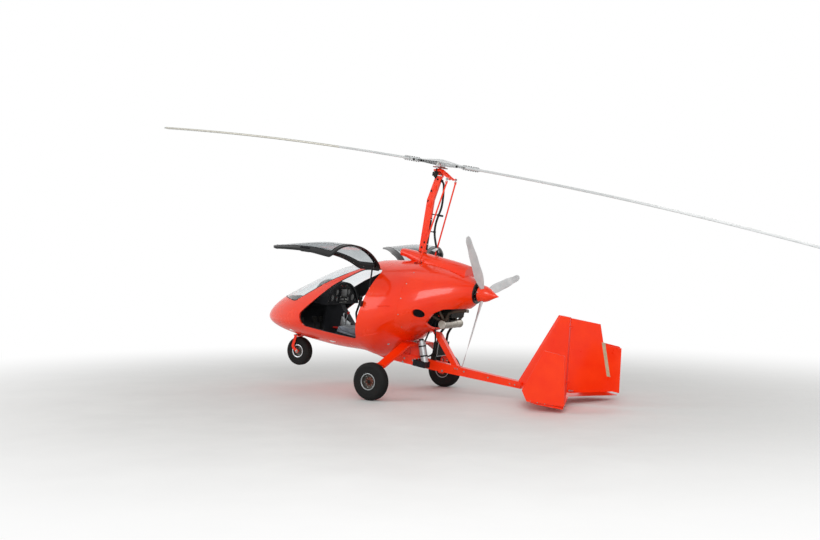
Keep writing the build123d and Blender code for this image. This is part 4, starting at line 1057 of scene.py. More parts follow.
def main_wheels():
    """Tyres, flange rings, hub discs, bolts, brake discs and calipers of the main wheels."""
    look = bpy.context.scene.gyro_look
    for side, word in SIDES:
        body = "main_wheel_" + word
        centre, out = Vector((0, side * TRACK_HALF, TYRE_R)), Y * side
        wheel = look_along(centre, out)

        @piece("tread_tyre_" + word, "rubber", body, smooth=30)
        def shown(bm):
            tyre(bm, centre, out, TYRE_R, TYRE_HALF, 97.5, look.tyre_grooves, look.groove_depth * 1000)
            for way in (out, -out):
                lathe(bm, centre, way, [(61.2, 91), (63.2, 91), (63.8, 94), (63.8, 109), (61.2, 104)], 96, loop=True)

        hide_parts("tyre_" + word)

        @piece("rim_flanges_" + word, "anodised", body)
        def draw(bm):
            for way in (out, -out):
                lathe(bm, centre, way, [(50, 80.8), (60, 81.8), (62.2, 84), (62.2, 89), (61.3, 90.8),
                                        (61.1, 85.2), (50, 84.8)], 72, loop=True)

        @piece("hub_discs_" + word, "disc", body)
        def draw(bm):
            for k in range(8):
                a0, a1 = 2 * pi * k / 8 + 0.13, 2 * pi * (k + 1) / 8 - 0.13
                arc = [(50 * cos(a0 + (a1 - a0) * t / 6), 50 * sin(a0 + (a1 - a0) * t / 6)) for t in range(7)]
                inner = [(38 * cos(a1 - (a1 - a0) * t / 6), 38 * sin(a1 - (a1 - a0) * t / 6)) for t in range(7)]
                slab(bm, arc + inner, look_along(centre + out * 25.7, out), 3.4, 1)
            lathe(bm, centre + out * 24, out, [(0, 50.5), (2.2, 50.5), (2.2, 47), (0, 47)], 60, loop=True)
            lathe(bm, centre + out * 24, out,
                  [(0, 40), (2.4, 40), (4, 37), (6.2, 29), (6.2, 28.2), (0, 28.2)], 60, loop=True)

        @piece("wheel_bolts_" + word, "zinc", body)
        def draw(bm):
            for x, y in circle(6, 70, 0.3):
                bolt(bm, wheel @ Vector((x, y, 24)), out, 10, 6)
            for x, y in circle(8, 44):
                lathe(bm, wheel @ Vector((x, y, 27)), out, [(-1, 0), (-1, 3.2), (1.4, 3.2), (2.2, 2), (2.2, 0)], 14)
            lathe(bm, wheel @ Vector((80 * cos(0.9), 80 * sin(0.9), 23)), out,
                  [(0, 0), (0, 4.5), (6, 4), (7, 2.6), (22, 2.6), (23, 3.6), (30, 3.6), (31, 0)], 14)

        @piece("hub_caps_" + word, "disc", body)
        def draw(bm):
            lathe(bm, centre + out * 30, out, [(0, 27.5), (3, 27), (6, 24), (7, 20.5), (4, 20), (0, 20)], 48,
                  loop=True)

        @piece("axle_caps_" + word, "engine_black")
        def draw(bm):
            lathe(bm, centre + out * 31.5, out,
                  [(0, 19.2), (9, 19.6), (12, 17), (13.5, 10), (13.5, 0), (9.2, 0), (9.2, 19.1)], 40)

        @piece("brake_discs_" + word, "disc", body)
        def draw(bm):
            lathe(bm, centre, -out, [(50, 62), (55, 62), (55, 40), (50, 40)], 64, loop=True)
            lathe(bm, centre, -out, [(39, 30), (50.5, 30), (50.5, 42), (46, 42), (44, 34), (39, 33)], 48, loop=True)

        @piece("brake_calipers_" + word, "anodised")
        def draw(bm):
            a = radians(62)
            spot = centre + Vector((58 * cos(a), 0, 58 * sin(a)))
            turned = look_along(spot, out, (cos(a), 0, sin(a)))
            for y, z, size, soft in ((-2, -68, (48, 26, 22), 4), (13, -58, (40, 8, 34), 2.5),
                                     (2, -43, (40, 26, 8), 3), (-6, -82, (30, 40, 8), 2.5)):
                block(bm, turned @ shift(0, y, z), size, soft)
            for x in (-16, 16):
                bolt(bm, turned @ Vector((x, -4, -79)), -out, 9, 5)

        hose("brake_line_" + word,
             [(x, side * y, z) for x, y, z in ((34, 688, 262), (40, 684, 300), (40, 640, 370), (40, 520, 427),
                                               (40, 330, 517), (40, 250, 552), (40, 160, 562), (40, 110, 560))],
             3.2, "epdm")

        @piece("brake_line_clips_" + word, "zinc")
        def draw(bm):
            for y, z in ((600, 389), (470, 451), (340, 512)):
                lathe(bm, (40, side * y, z), (0, side, -0.7), [(-6, 5.5), (6, 5.5), (6, 3.4), (-6, 3.4)], 16,
                      loop=True)

        @piece("leg_bolts_" + word, "zinc")
        def draw(bm):
            for x, z in ((12, 372), (68, 372), (12, 336), (68, 336)):
                bolt(bm, (x, side * 715.5, z), out)
                bolt(bm, (x, side * 701.5, z), -out)


def nose_gear():
    """The nose wheel's ribbed tyre, its rim fittings, and the fork's bolts and boot."""
    centre = Vector((-1564, 0, 160))

    @piece("tread_tyre_nose", "rubber", "nose_wheel", smooth=30)
    def shown(bm):
        tyre(bm, centre, Y, 170, 48, 77.5, 3, 4)

    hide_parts("nose_tyre")

    @pair("nose_rim_flanges", "aluminium", "nose_wheel")
    def draw(bm, way):
        lathe(bm, centre, Y * way, [(44.6, 77.4), (46.6, 77.6), (47.8, 74), (47.6, 69), (45, 65), (44.6, 65)], 60,
              loop=True)

    @pair("nose_wheel_bolts", "zinc", "nose_wheel")
    def draw(bm, way):
        web, _ = Skin("nose_rim").beside(centre.x + 46, centre.z, way, 80)
        for x, y in circle(5, 46):
            bolt(bm, look_along(centre, Y * way) @ Vector((x, y, abs(web.y))), Y * way, 8, 5)

    @pair("nose_fork_bolts", "zinc", "nose_leg")
    def draw(bm, way):
        bolt(bm, centre + Y * way * 64, Y * way, 22, 9)
        for x in (-1590, -1622):
            bolt(bm, (x, way * 48, 348), Z, 10, 6)

    @piece("nose_stem_boot", "epdm", "nose_leg")
    def draw(bm):
        lathe(bm, (-1612, 0, 349), Z, [(0, 30), (3, 31), (3, 24), (0, 18)], 36, loop=True)


def tail_gear():
    """The tail wheel's hub caps, axle nuts and plate bolts."""
    centre = Vector((1620, 0, 316.1))

    @pair("tail_wheel_hubs", "rim_dark", "tail_wheel_body")
    def draw(bm, way):
        lathe(bm, centre, Y * way, [(16, 30), (18.5, 30), (19.5, 27), (19, 12), (16, 12)], 40, loop=True)

    @pair("tail_wheel_nuts", "zinc")
    def draw(bm, way):
        bolt(bm, centre + Y * way * 28.2, Y * way, 15, 3.4)
        keel = Skin("keel_boom")
        for at, normal in met(keel.beside(x, 384, way, CLOSE) for x in (1598, 1640)):
            bolt(bm, at, normal, 9, 5)


def engine_bay():
    """Cylinders, covers, intakes, headers, gearbox bolts, mounts and hoses on the engine's block."""
    fins = bpy.context.scene.gyro_look.fin_count

    @pair("engine_cylinders", "engine_black", smooth=24)
    def draw(bm, side):
        profile, gap = [(0, 0), (0, 44)], 64 / fins
        for y in (4 + gap * k for k in range(fins)):
            profile += [(y, 44), (y, 57), (y + gap * 0.42, 57), (y + gap * 0.42, 44)]
        for x in CYLINDERS:
            lathe(bm, (x, side * 144, CYLINDER_Z), Y * side, profile + [(74, 46), (74, 0)], 40)

    @pair("cylinder_heads", "engine_black")
    def draw(bm, side):
        for x in CYLINDERS:
            place = look_along((x, side * 236, CYLINDER_Z), Y * side)
            plate(bm, place, oblong(108, 120), 16, 38, 4)
            plate(bm, place @ shift(0, 0, 27), oblong(88, 96), 18, 18, 5)

    @piece("engine_bolts", "zinc")
    def draw(bm):
        for side, _ in SIDES:
            for x in CYLINDERS:
                for dx, dz in ((-36, -40), (-36, 40), (36, -40), (36, 40)):
                    bolt(bm, (x + dx, side * 271, CYLINDER_Z + dz), Y * side, 9, 5)
        for y, z in circle(8, 68, 0.2):
            bolt(bm, (640, y, PROP_Z + z), X, 10, 6)

    @pair("intake_pipes", "engine_black")
    def draw(bm, side):
        for x in CYLINDERS:
            reach = INTAKE_X - x
            tube(bm, [(x, side * 226, CYLINDER_Z + 58), (x, side * 222, 1190), (x + reach * 0.25, side * 190, 1226),
                      (x + reach * 0.6, side * 140, 1242), (INTAKE_X - reach * 0.15, side * 96, 1268)], 17, 14)
        lathe(bm, (INTAKE_X, side * INTAKE_Y, 1252), Z,
              [(0, 0), (0, 30), (8, 34), (34, 34), (44, 26), (60, 26), (60, 0)], 32)

    @pair("intake_filters", "epdm")
    def draw(bm, side):
        pleats = [(6 + k * 3, 38 if k % 2 else 34) for k in range(12)]
        lathe(bm, (INTAKE_X, side * INTAKE_Y, 1310), Z,
              [(0, 0), (0, 30), (4, 36)] + pleats + [(44, 36), (47, 0)], 36)

    @pair("exhaust_headers", "exhaust")
    def draw(bm, side):
        for x, to in zip(CYLINDERS, (404, 452)):
            tube(bm, [(a, side * y, z) for a, y, z in
                      ((x, 236, CYLINDER_Z - 62), (x + 4, 238, 1010), (x + 40, 226, 960), (to - 20, 170, 918),
                       (to, 120, 896), (to, 108, 888))], 15, 14)

    @pair("engine_mounts", "powder_orange")
    def draw(bm, side):
        for z, foot in ((990, 930), (1255, 1260)):
            tube(bm, [(181, side * 150, foot), (196, side * 146, foot + 6), (212, side * 128, z)], 9, 14)
            lathe(bm, (180, side * 150, foot), X, [(0, 0), (0, 24), (7, 24), (9, 20), (9, 0)], 28)
        tube(bm, [(182, side * 60, 1300), (300, side * 58, 1298), (340, side * 62, 1288)], 8, 12)

    @piece("coolant_bottle", "white_nylon")
    def draw(bm):
        lathe(bm, (236, -128, 1300), Z,
              [(0, 0), (0, 34), (5, 40), (64, 40), (72, 32), (78, 22), (92, 22), (96, 18), (96, 0)], 36)

    for name, radius, finish, points in (
        ("coolant_hose_top", 14, "epdm", [(260, 62, 628), (262, 62, 668), (268, 70, 730), (300, 96, 800),
                                          (330, 118, 880), (322, 122, 940), (316, 120, 972)]),
        ("coolant_hose_low", 14, "epdm", [(262, 262, 628), (264, 262, 664), (276, 240, 730), (330, 200, 800),
                                          (400, 150, 880), (404, 130, 940), (404, 118, 972)]),
        ("oil_hose_feed", 9, "epdm", [(178, -96, 610), (192, -92, 650), (214, -84, 740), (236, -88, 840),
                                      (242, -96, 920), (240, -100, 968)]),
        ("oil_hose_return", 9, "epdm", [(222, -62, 470), (262, -44, 480), (306, -52, 560), (300, -64, 700),
                                        (268, -70, 840), (286, -84, 930), (290, -88, 968)]),
        ("ignition_lead_left", 4, "red_plastic", [(262, -281, 1128), (250, -296, 1168), (246, -270, 1226),
                                                  (270, -190, 1284), (300, -150, 1294), (320, -120, 1284)]),
        ("ignition_lead_right", 4, "red_plastic", [(402, 281, 1128), (414, 296, 1168), (410, 270, 1226),
                                                   (390, 190, 1284), (370, 150, 1294), (350, 120, 1284)]),
    ):
        hose(name, points, radius, finish)


def services():
    """The muffler's bands, the radiator's core and frame, the canister's cap and the straps."""
    radiator_faces = ((232, -1), (288, 1))

    @piece("muffler_bands", "stainless")
    def draw(bm):
        for y in (-196, -70, 70, 184):
            lathe(bm, (MUFFLER_X, y, MUFFLER_Z), Y, [(0, 46), (0, 48.6), (12, 48.6), (12, 46)], 48, loop=True)
        lathe(bm, (MUFFLER_X, -200.6, MUFFLER_Z), Y,
              [(0, 0), (0, 44), (2.4, 46.9), (398.8, 46.9), (401.2, 44), (401.2, 0)], 60)
        lathe(bm, (702, -168, 1079.6), (0.96, 0, 0.24), [(0, 17), (0, 18.6), (8, 18.6), (8, 17)], 32, loop=True)

    @piece("radiator_fins", "engine_black")
    def draw(bm):
        for face, way in radiator_faces:
            for k in range(22):
                slab(bm, oblong(224, 3.2), look_along((face + way * 0.8, 160, 484 + k * 6.9), X * way), 1.8)
            for k in range(30):
                slab(bm, oblong(1, 148), look_along((face + way * 0.4, 50 + k * 7.6, 556), X * way), 1.0)

    @piece("radiator_frame", "anodised")
    def draw(bm):
        for face, way in radiator_faces:
            for y, z, w, h in ((160, 480, 250, 8), (160, 632, 250, 8), (39, 556, 8, 160), (281, 556, 8, 160)):
                block(bm, look_along((face + way * 1.5, y, z), X * way), (w, h, 4), 1)
        for y in (62, 262):
            lathe(bm, (261, y, 630), Z, [(0, 0), (0, 15.5), (10, 15.5), (10, 0)], 24)

    @piece("canister_cap_and_straps", "epdm")
    def draw(bm):
        foot, lean = Vector((222, -98, 420)), Vector((-72, 0, 205)).normalized()
        lathe(bm, foot + lean * 232, lean, [(0, 27), (2, 29), (16, 29), (19, 26), (19, 0), (0, 0)], 12)
        for along in (50, 160):
            lathe(bm, foot + lean * along, lean, [(0, 42), (0, 43.4), (16, 43.4), (16, 42)], 48, loop=True)

    @piece("battery_straps", "webbing")
    def draw(bm):
        for x in (140, 230):
            strip(bm, [((x, -98 + y, z), up) for y, z, up in
                       ((-60, 354, -Y), (-60, 420, Z - Y), (0, 420, Z), (60, 420, Z + Y), (60, 354, Y))], oblong(18, 2))

    @piece("battery_posts", "zinc")
    def draw(bm):
        for y in (-136, -60):
            lathe(bm, (120, y, 417), Z, [(0, 0), (0, 9), (6, 9), (6, 6), (14, 6), (14, 0)], 20)


def mast_middle(z):
    """How far aft the mast's middle and how wide its half stand at a height."""
    low, knee, top = (437, -82, 47), (2200, -50, 42), (2470, 14, 39)
    a, b = (low, knee) if z < 2200 else (knee, top)
    t = (z - a[0]) / (b[0] - a[0])
    return a[1] + (b[1] - a[1]) * t, a[2] + (b[2] - a[2]) * t


def mast_rear(z):
    """How far aft the mast's rear edge stands at a height."""
    return sum(mast_middle(z))


def mast_fittings():
    """Bolts, the cable strip, clamps and the hose of the mast."""

    @pair("mast_bolts", "engine_black")
    def draw(bm, way):
        for z, part in ((2300, -0.6), (2183, -0.6), (2440, 0), (1720, 0.3), (1660, -0.3)):
            x, half = mast_middle(z)
            bolt(bm, (x + half * part, way * 17, z), Y * way, 14, 8)

    @pair("mast_plates", "powder_orange")
    def draw(bm, way):
        for z in (2150, 2340):
            plate(bm, look_along((mast_middle(z)[0], way * 18.6, z), Y * way), oblong(52, 68), 10, 3.2)

    @piece("mast_cable_cover", "abs_black")
    def draw(bm):
        strip(bm, [((mast_rear(z) + 1, 0, z), X) for z in (1640, 1720, 1820, 1920, 2000)],
              [(-13, -1.5), (-12, 5), (-8, 8), (8, 8), (12, 5), (13, -1.5)])

    hose("mast_drive_hose",
         [(146, 20, 1548), (138, 20, 1590), (84, 20, 1712), (44, 20, 1830), (40, 20, 1930), (60, 20, 2030),
          (90, 20, 2132), (90, 20, 2250), (82, 20, 2340), (74, 18, 2400), (50, 14, 2424), (34, 10, 2428)],
         12, "epdm")

    @piece("hose_clamps", "abs_black")
    def draw(bm):
        for z, x in ((2044, 62), (1850, 42)):
            lathe(bm, (x, 20, z - 10), (0.1, 0, 1), [(0, 11.5), (0, 16), (20, 16), (20, 11.5)], 24, loop=True)
            rear = mast_rear(z)
            block(bm, look_along(((rear + x - 14) / 2, 10, z), Z, X), (10, x - 9 - rear, 12), 2)
        block(bm, shift(96, 26, 2042), (46, 18, 22), 4)
        lathe(bm, (mast_rear(2428) - 2, 8, 2428), (1, 0.1, 0),
              [(0, 0), (0, 16), (10, 16), (12, 13), (22, 13), (22, 0)], 24)

    @piece("hose_fittings", "white_nylon")
    def draw(bm):
        lathe(bm, (139, 20, 1562), (-0.3, 0, 1),
              [(0, 12), (0, 17), (16, 17), (18, 14), (34, 14), (34, 12)], 24, loop=True)
        lathe(bm, (106, 20, 1652), (-0.42, 0, 1), [(0, 12), (0, 16), (24, 16), (24, 12)], 24, loop=True)
        for z in (1700, 1840, 1980):
            lathe(bm, (mast_rear(z) + 4, 0, z), Z, [(0, 8), (0, 13), (8, 13), (8, 8)], 20, loop=True)

    @piece("mast_boot", "epdm")
    def draw(bm):
        middle, half = mast_middle(1620)
        fairing = Skin("spine_fairing")
        tube(bm, [at for at, _ in met(fairing.land((middle + (half + 9) * x, 26 * y, ABOVE), -Z)
                                      for x, y in circle(40))], 5, 8, loop=True)

    @pair("rod_lips", "epdm")
    def draw(bm, side):
        roof = Skin("cabin_shell", "engine_cowl", "spine_fairing")
        rim = []
        for x, y in circle(48):
            away = Vector((x, y, 0))
            for at, normal in met([roof.land(Vector((ROD_HOLE[0], side * ROD_HOLE[1], ABOVE)) + away * 39, -Z)]):
                rim.append((at, normal, away))
        bridge(bm, [[bm.verts.new(at + away * grow + normal * lift) for at, normal, away in rim]
                    for grow, lift in ((5, -0.6), (5, 1.5), (3, 3), (0, 3), (-3, 1.5), (-3, -0.6))], loop=True)


def rotor_head():
    """The head's bearing housing, ring-gear teeth, starter, tower cheeks and nuts."""
    head = ("rotor_head_body", PIVOT)

    @piece("bearing_housing", "powder_orange", *head)
    def draw(bm):
        lathe(bm, (0, 0, 0), Z, [(33, 40), (31, 60), (31, 70), (36, 72), (45, 69), (50, 52), (58, 42), (58, 38),
                                 (42, 38)], 72, loop=True)

    @piece("rotor_starter", "engine_black", *head)
    def draw(bm):
        x, y = STARTER
        lathe(bm, (x, y, -40), Z, [(0, 0), (0, 17), (4, 21), (56, 21), (60, 18), (68, 18), (70, 8), (102, 8),
                                   (102, 0)], 36)
        slab(bm, [tuple(p) for p in rounded([(x - 26, y - 24), (x + 26, y - 24), (x + 34, -40), (x - 34, -40)],
                                            (12, 12, 3, 3))], shift(0, 0, 22.5), 6, 1.2)
        lathe(bm, (x, y, -52), Z, [(0, 0), (0, 8), (12, 8), (12, 0)], 20)
        block(bm, shift(x - 30, y + 8, -6), (26, 30, 44), 4)

    def toothed(bm, ring, low, high, middle=(0, 0)):
        """Two rings of vertices, one above the other, from points given with their radii."""
        return [[bm.verts.new((middle[0] + r * x, middle[1] + r * y, z)) for r, (x, y) in ring] for z in (low, high)]

    @piece("starter_pinion", "chrome", *head, smooth=15)
    def draw(bm):
        teeth = [(8.2 if k % 2 else 6.0, spot) for k, spot in enumerate(circle(28))]
        bridge(bm, toothed(bm, teeth, 66, 78, STARTER), ends=True)

    @piece("ring_gear_teeth", "disc", "rotor", TOWER, smooth=15)
    def draw(bm):
        teeth = [(83.5 if k % 4 < 2 else 80.2, spot) for k, spot in enumerate(circle(144))]
        bridge(bm, toothed(bm, teeth, 67, 77) + toothed(bm, [(78, spot) for _, spot in teeth], 77, 67), loop=True)

    @pair("tower_cheeks", "anodised", "rotor", TOWER)
    def draw(bm, way):
        top = [(17 * cos(pi * k / 12), TOWER_TOP + 17 * sin(pi * k / 12)) for k in range(-1, 14)]
        slab(bm, [(-35.2, 78.2), (35.2, 78.2)] + top, upright(way * 51), 9.6, 0.8)

    @piece("tower_nuts", "zinc", "rotor", TOWER)
    def draw(bm):
        for way, _ in SIDES:
            bolt(bm, (0, way * 59, TOWER_TOP), Y * way, 19, 4)
        for x, y in circle(8, 40, pi / 8):
            bolt(bm, (x, y, 78), Z, 8, 3)

    @pair("head_nuts", "zinc", *head)
    def draw(bm, way):
        bolt(bm, (0, way * 37, 0), Y * way, 15, 7)
        bolt(bm, (166, way * 44, -33), Y * way, 12, 6)
        for x in (-36, 50):
            bolt(bm, (x, way * 40, 34), Z, 9, 5)

    @pair("rod_end_nuts", "zinc", *head)
    def draw(bm, way):
        bolt(bm, (166, way * 112, -33), Y * way, 12, 5)


def rotor_fittings():
    """Bolts of the hub bar and blade roots, and the strips and rivets along the blades."""
    blades, skin = ("rotor_blade_pair", HUB), Skin("rotor_blades")
    turns = {1: Matrix.Identity(4), -1: Matrix.Rotation(pi, 4, "Z")}    # from one blade to the other

    @pair("hub_bar_bolts", "engine_black", *blades)
    def draw(bm, way):
        for x in (235, 335, -235, -335):
            bolt(bm, (x, way * 45, 0.5), Y * way, 17, 7)
        for x in (310, 345, 378, 410, 440, 466):
            for y in (-20, 20):
                bolt(bm, turns[way] @ Vector((x, y, 22.9)), Z, 10, 5)
                bolt(bm, turns[way] @ Vector((x, y, -17.7)), -Z, 10, 5)

    @piece("hub_plate", "blade_white", *blades)
    def shown(bm):
        low, high = [(392, -6.5), (285, -10.4), (70, -24)], [(0, 50), (120, 35), (285, 15.2), (392, 11.4)]
        slab(bm, [(-x, z) for x, z in high[::-1]] + high[1:] + low + [(-x, z) for x, z in low[::-1]],
             upright(0), 90, 2.5)

    @pair("blade_edge_strips", "nickel", *blades, smooth=60)
    def draw(bm, way):
        turn, rings, heights = turns[way], [], (35, 44, 50, 53.5)
        for s in (1400 + 2840 * t / 26 for t in range(27)):
            rays = [((s, y, NEAR), -Z) for y in heights]
            rays += [((s, 400, 1 - (s - 391) ** 2 / (2 * DROOP_RADIUS)), -Y)]
            rays += [((s, y, -NEAR), Z) for y in heights[::-1]]
            ring = met(skin.land(turn @ Vector(at), turn @ inward, HUB) for at, inward in rays)
            if len(ring) == len(rays):
                rings.append([bm.verts.new(p + n * 0.7) for p, n in ring]
                             + [bm.verts.new(p - n * 0.8) for p, n in ring[::-1]])
        bridge(bm, rings, ends=True)

    @pair("blade_spar_seams", "nickel", *blades)
    def draw(bm, way):
        strip(bm, met(skin.land(turns[way] @ Vector((500 + 3740 * t / 39, -24, NEAR)), -Z, HUB) for t in range(40)),
              [(-1.6, -0.5), (-1.2, 0.5), (1.2, 0.5), (1.6, -0.5)])

    @pair("blade_tip_rivets", "zinc", *blades)
    def draw(bm, way):
        spots = [(x, y, NEAR) for x in (4236, 4250) for y in (-90, -30, 20)]
        for at, normal in met(skin.land(turns[way] @ Vector(spot), -Z, HUB) for spot in spots):
            lathe(bm, at, normal, [(-0.4, 0), (-0.4, 3.4), (0.9, 2.4), (1.1, 0)], 12)


def propeller_fittings():
    """Spinner screws and backing ring, and the propeller hub's bolts and ring."""

    @piece("spinner_screws", "zinc", "propeller_body")
    def draw(bm):
        spinner, middle = Skin("spinner"), Vector((750, 0, PROP_Z))
        ways = [Vector((0, y, z)) for y, z in circle(9, 1, 0.2)]
        for at, normal in met(spinner.land(middle + way * NEAR, -way) for way in ways):
            lathe(bm, at, normal, [(-0.6, 0), (-0.6, 4.6), (0.8, 4.2), (1.2, 2.2), (0.5, 2), (0.5, 0)], 14)

    @piece("spinner_back_ring", "gelcoat_black", "propeller_body")
    def draw(bm):
        lathe(bm, (736, 0, PROP_Z), X, [(0, 60), (0, 91.5), (3, 91.8), (3, 60)], 72, loop=True)

    @piece("propeller_bolts", "zinc", "propeller_body")
    def draw(bm):
        for y, z in circle(6, 40):
            bolt(bm, (723, y, PROP_Z + z), -X, 10, 6)

    @piece("prop_ring_screws", "zinc")
    def draw(bm):
        for y, z in circle(12, 97, 0.15):
            lathe(bm, (717, y, PROP_Z + z), X,
                  [(-0.5, 0), (-0.5, 5), (1.4, 4.4), (1.8, 2.4), (1, 2), (1, 0)], 16)


def tail_edge(z):
    """How far aft the rudder's tail edge stands at a height."""
    return 2165 + (1216 - z) * 273 / 816


def hinge_edge(z):
    """How far aft the fin's rear edge stands at a height."""
    return 1931 - (z - 435) * 75 / 778


def tail_fittings():
    """Trim tab's strip, the rudder's horn, rivets and screws of the tail."""
    rudder, plates = Skin("rudder"), Skin("end_plates", "stabiliser", "fin")
    rivet = [(-0.5, 0), (-0.5, 2.8), (0.7, 2), (0.9, 0)]

    @pair("trim_tab_strip", "tan_strip", "rudder_body")
    def draw(bm, way):
        rings = []
        for z in (1036 - 333 * t / 12 for t in range(13)):
            ring = []
            for x in (tail_edge(z) + dx for dx in (-16, -8, 0, 8, 22)):
                at, _ = rudder.beside(x, z, way, CLOSE)
                ring.append((Vector((x, way * 2.5, z)) if at is None else at) + Y * way * 0.9)
            rings.append([bm.verts.new(p) for p in ring] + [bm.verts.new(p - Y * way * 1.8) for p in ring[::-1]])
        bridge(bm, rings, ends=True)

    @pair("trim_tab_rivets", "zinc", "rudder_body")
    def draw(bm, way):
        for z in (1024 - 310 * t / 13 for t in range(14)):
            lathe(bm, (tail_edge(z) + 13, way * 3.2, z), Y * way, [(0, 0), (0, 2.6), (1, 1.8), (1.2, 0)], 12)

    @pair("rudder_horn", "anodised", "rudder_body")
    def draw(bm, way):
        at, _ = rudder.beside(1968, 476, way, CLOSE)
        plate(bm, look_along(at - Y * way * 2, Z, Y * way), [(-30, 0), (30, 0), (12, 62), (-12, 62)], 6, 4)
        lathe(bm, at + Vector((0, way * 48, -6)), Z, [(0, 0), (0, 6), (12, 6), (12, 0)], 16)

    @pair("end_plate_screws", "zinc")
    def draw(bm, side):
        spots = ((1850, 410), (1930, 414), (2010, 418), (2090, 424), (2170, 430))
        for at, normal in met(plates.beside(x, z, side) for x, z in spots):
            lathe(bm, at, normal, [(-0.5, 0), (-0.5, 5.4), (1.2, 4.8), (1.6, 2.4), (0.8, 2.2), (0.8, 0)], 16)

    @pair("tail_rivets", "powder_orange")
    def draw(bm, side):
        heights = [470 + 720 * t / 21 for t in range(22)]
        reaches = [70 + 630 * t / 23 for t in range(24)]
        for at, normal in met(plates.beside(hinge_edge(z) - 46, z, side, NEAR) for z in heights):
            lathe(bm, at, normal, rivet, 10)
        for at, normal in met(plates.land((x + y * 0.3, side * y, FAR), -Z) for y in reaches for x in (1700, 1930)):
            if at.z < 460:
                lathe(bm, at, normal, rivet, 10)

    @pair("rudder_rivets", "powder_orange", "rudder_body")
    def draw(bm, side):
        heights = [520 + 660 * t / 25 for t in range(26)]
        for at, normal in met(rudder.beside(hinge_edge(z) + 34, z, side, NEAR) for z in heights):
            lathe(bm, at, normal, rivet, 10)


def keel_fittings():
    """Bolts, doubler plates and weld beads of the keel and the gear bow's saddle."""
    keel = Skin("keel_boom")

    @pair("keel_bolts", "zinc")
    def draw(bm, way):
        for x, z, size in ((-73, 388, 17), (-90, 346, 17), (40, 388, 17), (428, 350, 15), (584, 410, 13),
                           (616, 410, 13), (1330, 395, 13), (1270, 395, 13), (700, 400, 11), (1000, 400, 11)):
            for at, normal in met([keel.beside(x, z, way, NEAR)]):
                bolt(bm, at, normal, size, 8)

    @pair("keel_doublers", "powder_orange")
    def draw(bm, way):
        for x, z, w, h in ((-80, 384, 92, 78), (600, 398, 120, 56), (1300, 396, 130, 44)):
            for at, normal in met([keel.beside(x, z, way, NEAR)]):
                plate(bm, look_along(at, normal), oblong(w, h), 14, 4)

    @pair("keel_welds", "powder_orange")
    def draw(bm, way):
        for x, y, count in ((558, 30.5, 21), (-12, 40.5, 26)):
            tube(bm, [(x + k * 4, way * y, 438 + (k % 2) * 0.8) for k in range(count)], 2.6, 8)

    @piece("bow_bolts", "zinc")
    def draw(bm):
        for way, _ in SIDES:
            for x in (8, 72):
                bolt(bm, (x, way * 22, 592), Z, 15, 9)
        plate(bm, look_along((40, 4, 594), Z), oblong(92, 76), 8, 4)


def camera():
    """The camera where the photograph's stood."""
    spot, azimuth, rise, roll = (6.3677, -11.0768, 1.4848), radians(31.4317), radians(0.3945), radians(0.0806)
    back = Vector((sin(azimuth) * cos(rise), -cos(azimuth) * cos(rise), sin(rise)))
    right = (-back).cross(Z).normalized()
    up = right.cross(-back)
    turn = Matrix((right * cos(roll) + up * sin(roll), up * cos(roll) - right * sin(roll), back))
    lens = bpy.data.cameras.new("camera")
    lens.sensor_width, lens.lens, lens.clip_end = 36, 50.325, 200
    made = linked("camera", lens)
    made.matrix_world = shift(*spot) @ turn.transposed().to_4x4()
    bpy.context.scene.camera = made


def plainly_seen(tree):
    """1 for the rays that see the surround itself, from the camera or by a mirror or glass, else 0."""
    rays = node(tree, "ShaderNodeLightPath")
    seen = node(tree, "ShaderNodeMath", {"operation": "MAXIMUM"},
                {0: rays.outputs["Is Camera Ray"], 1: rays.outputs["Is Glossy Ray"]})
    return node(tree, "ShaderNodeMath", {"operation": "MAXIMUM"},
                {0: seen.outputs["Value"], 1: rays.outputs["Is Transmission Ray"]}).outputs["Value"]


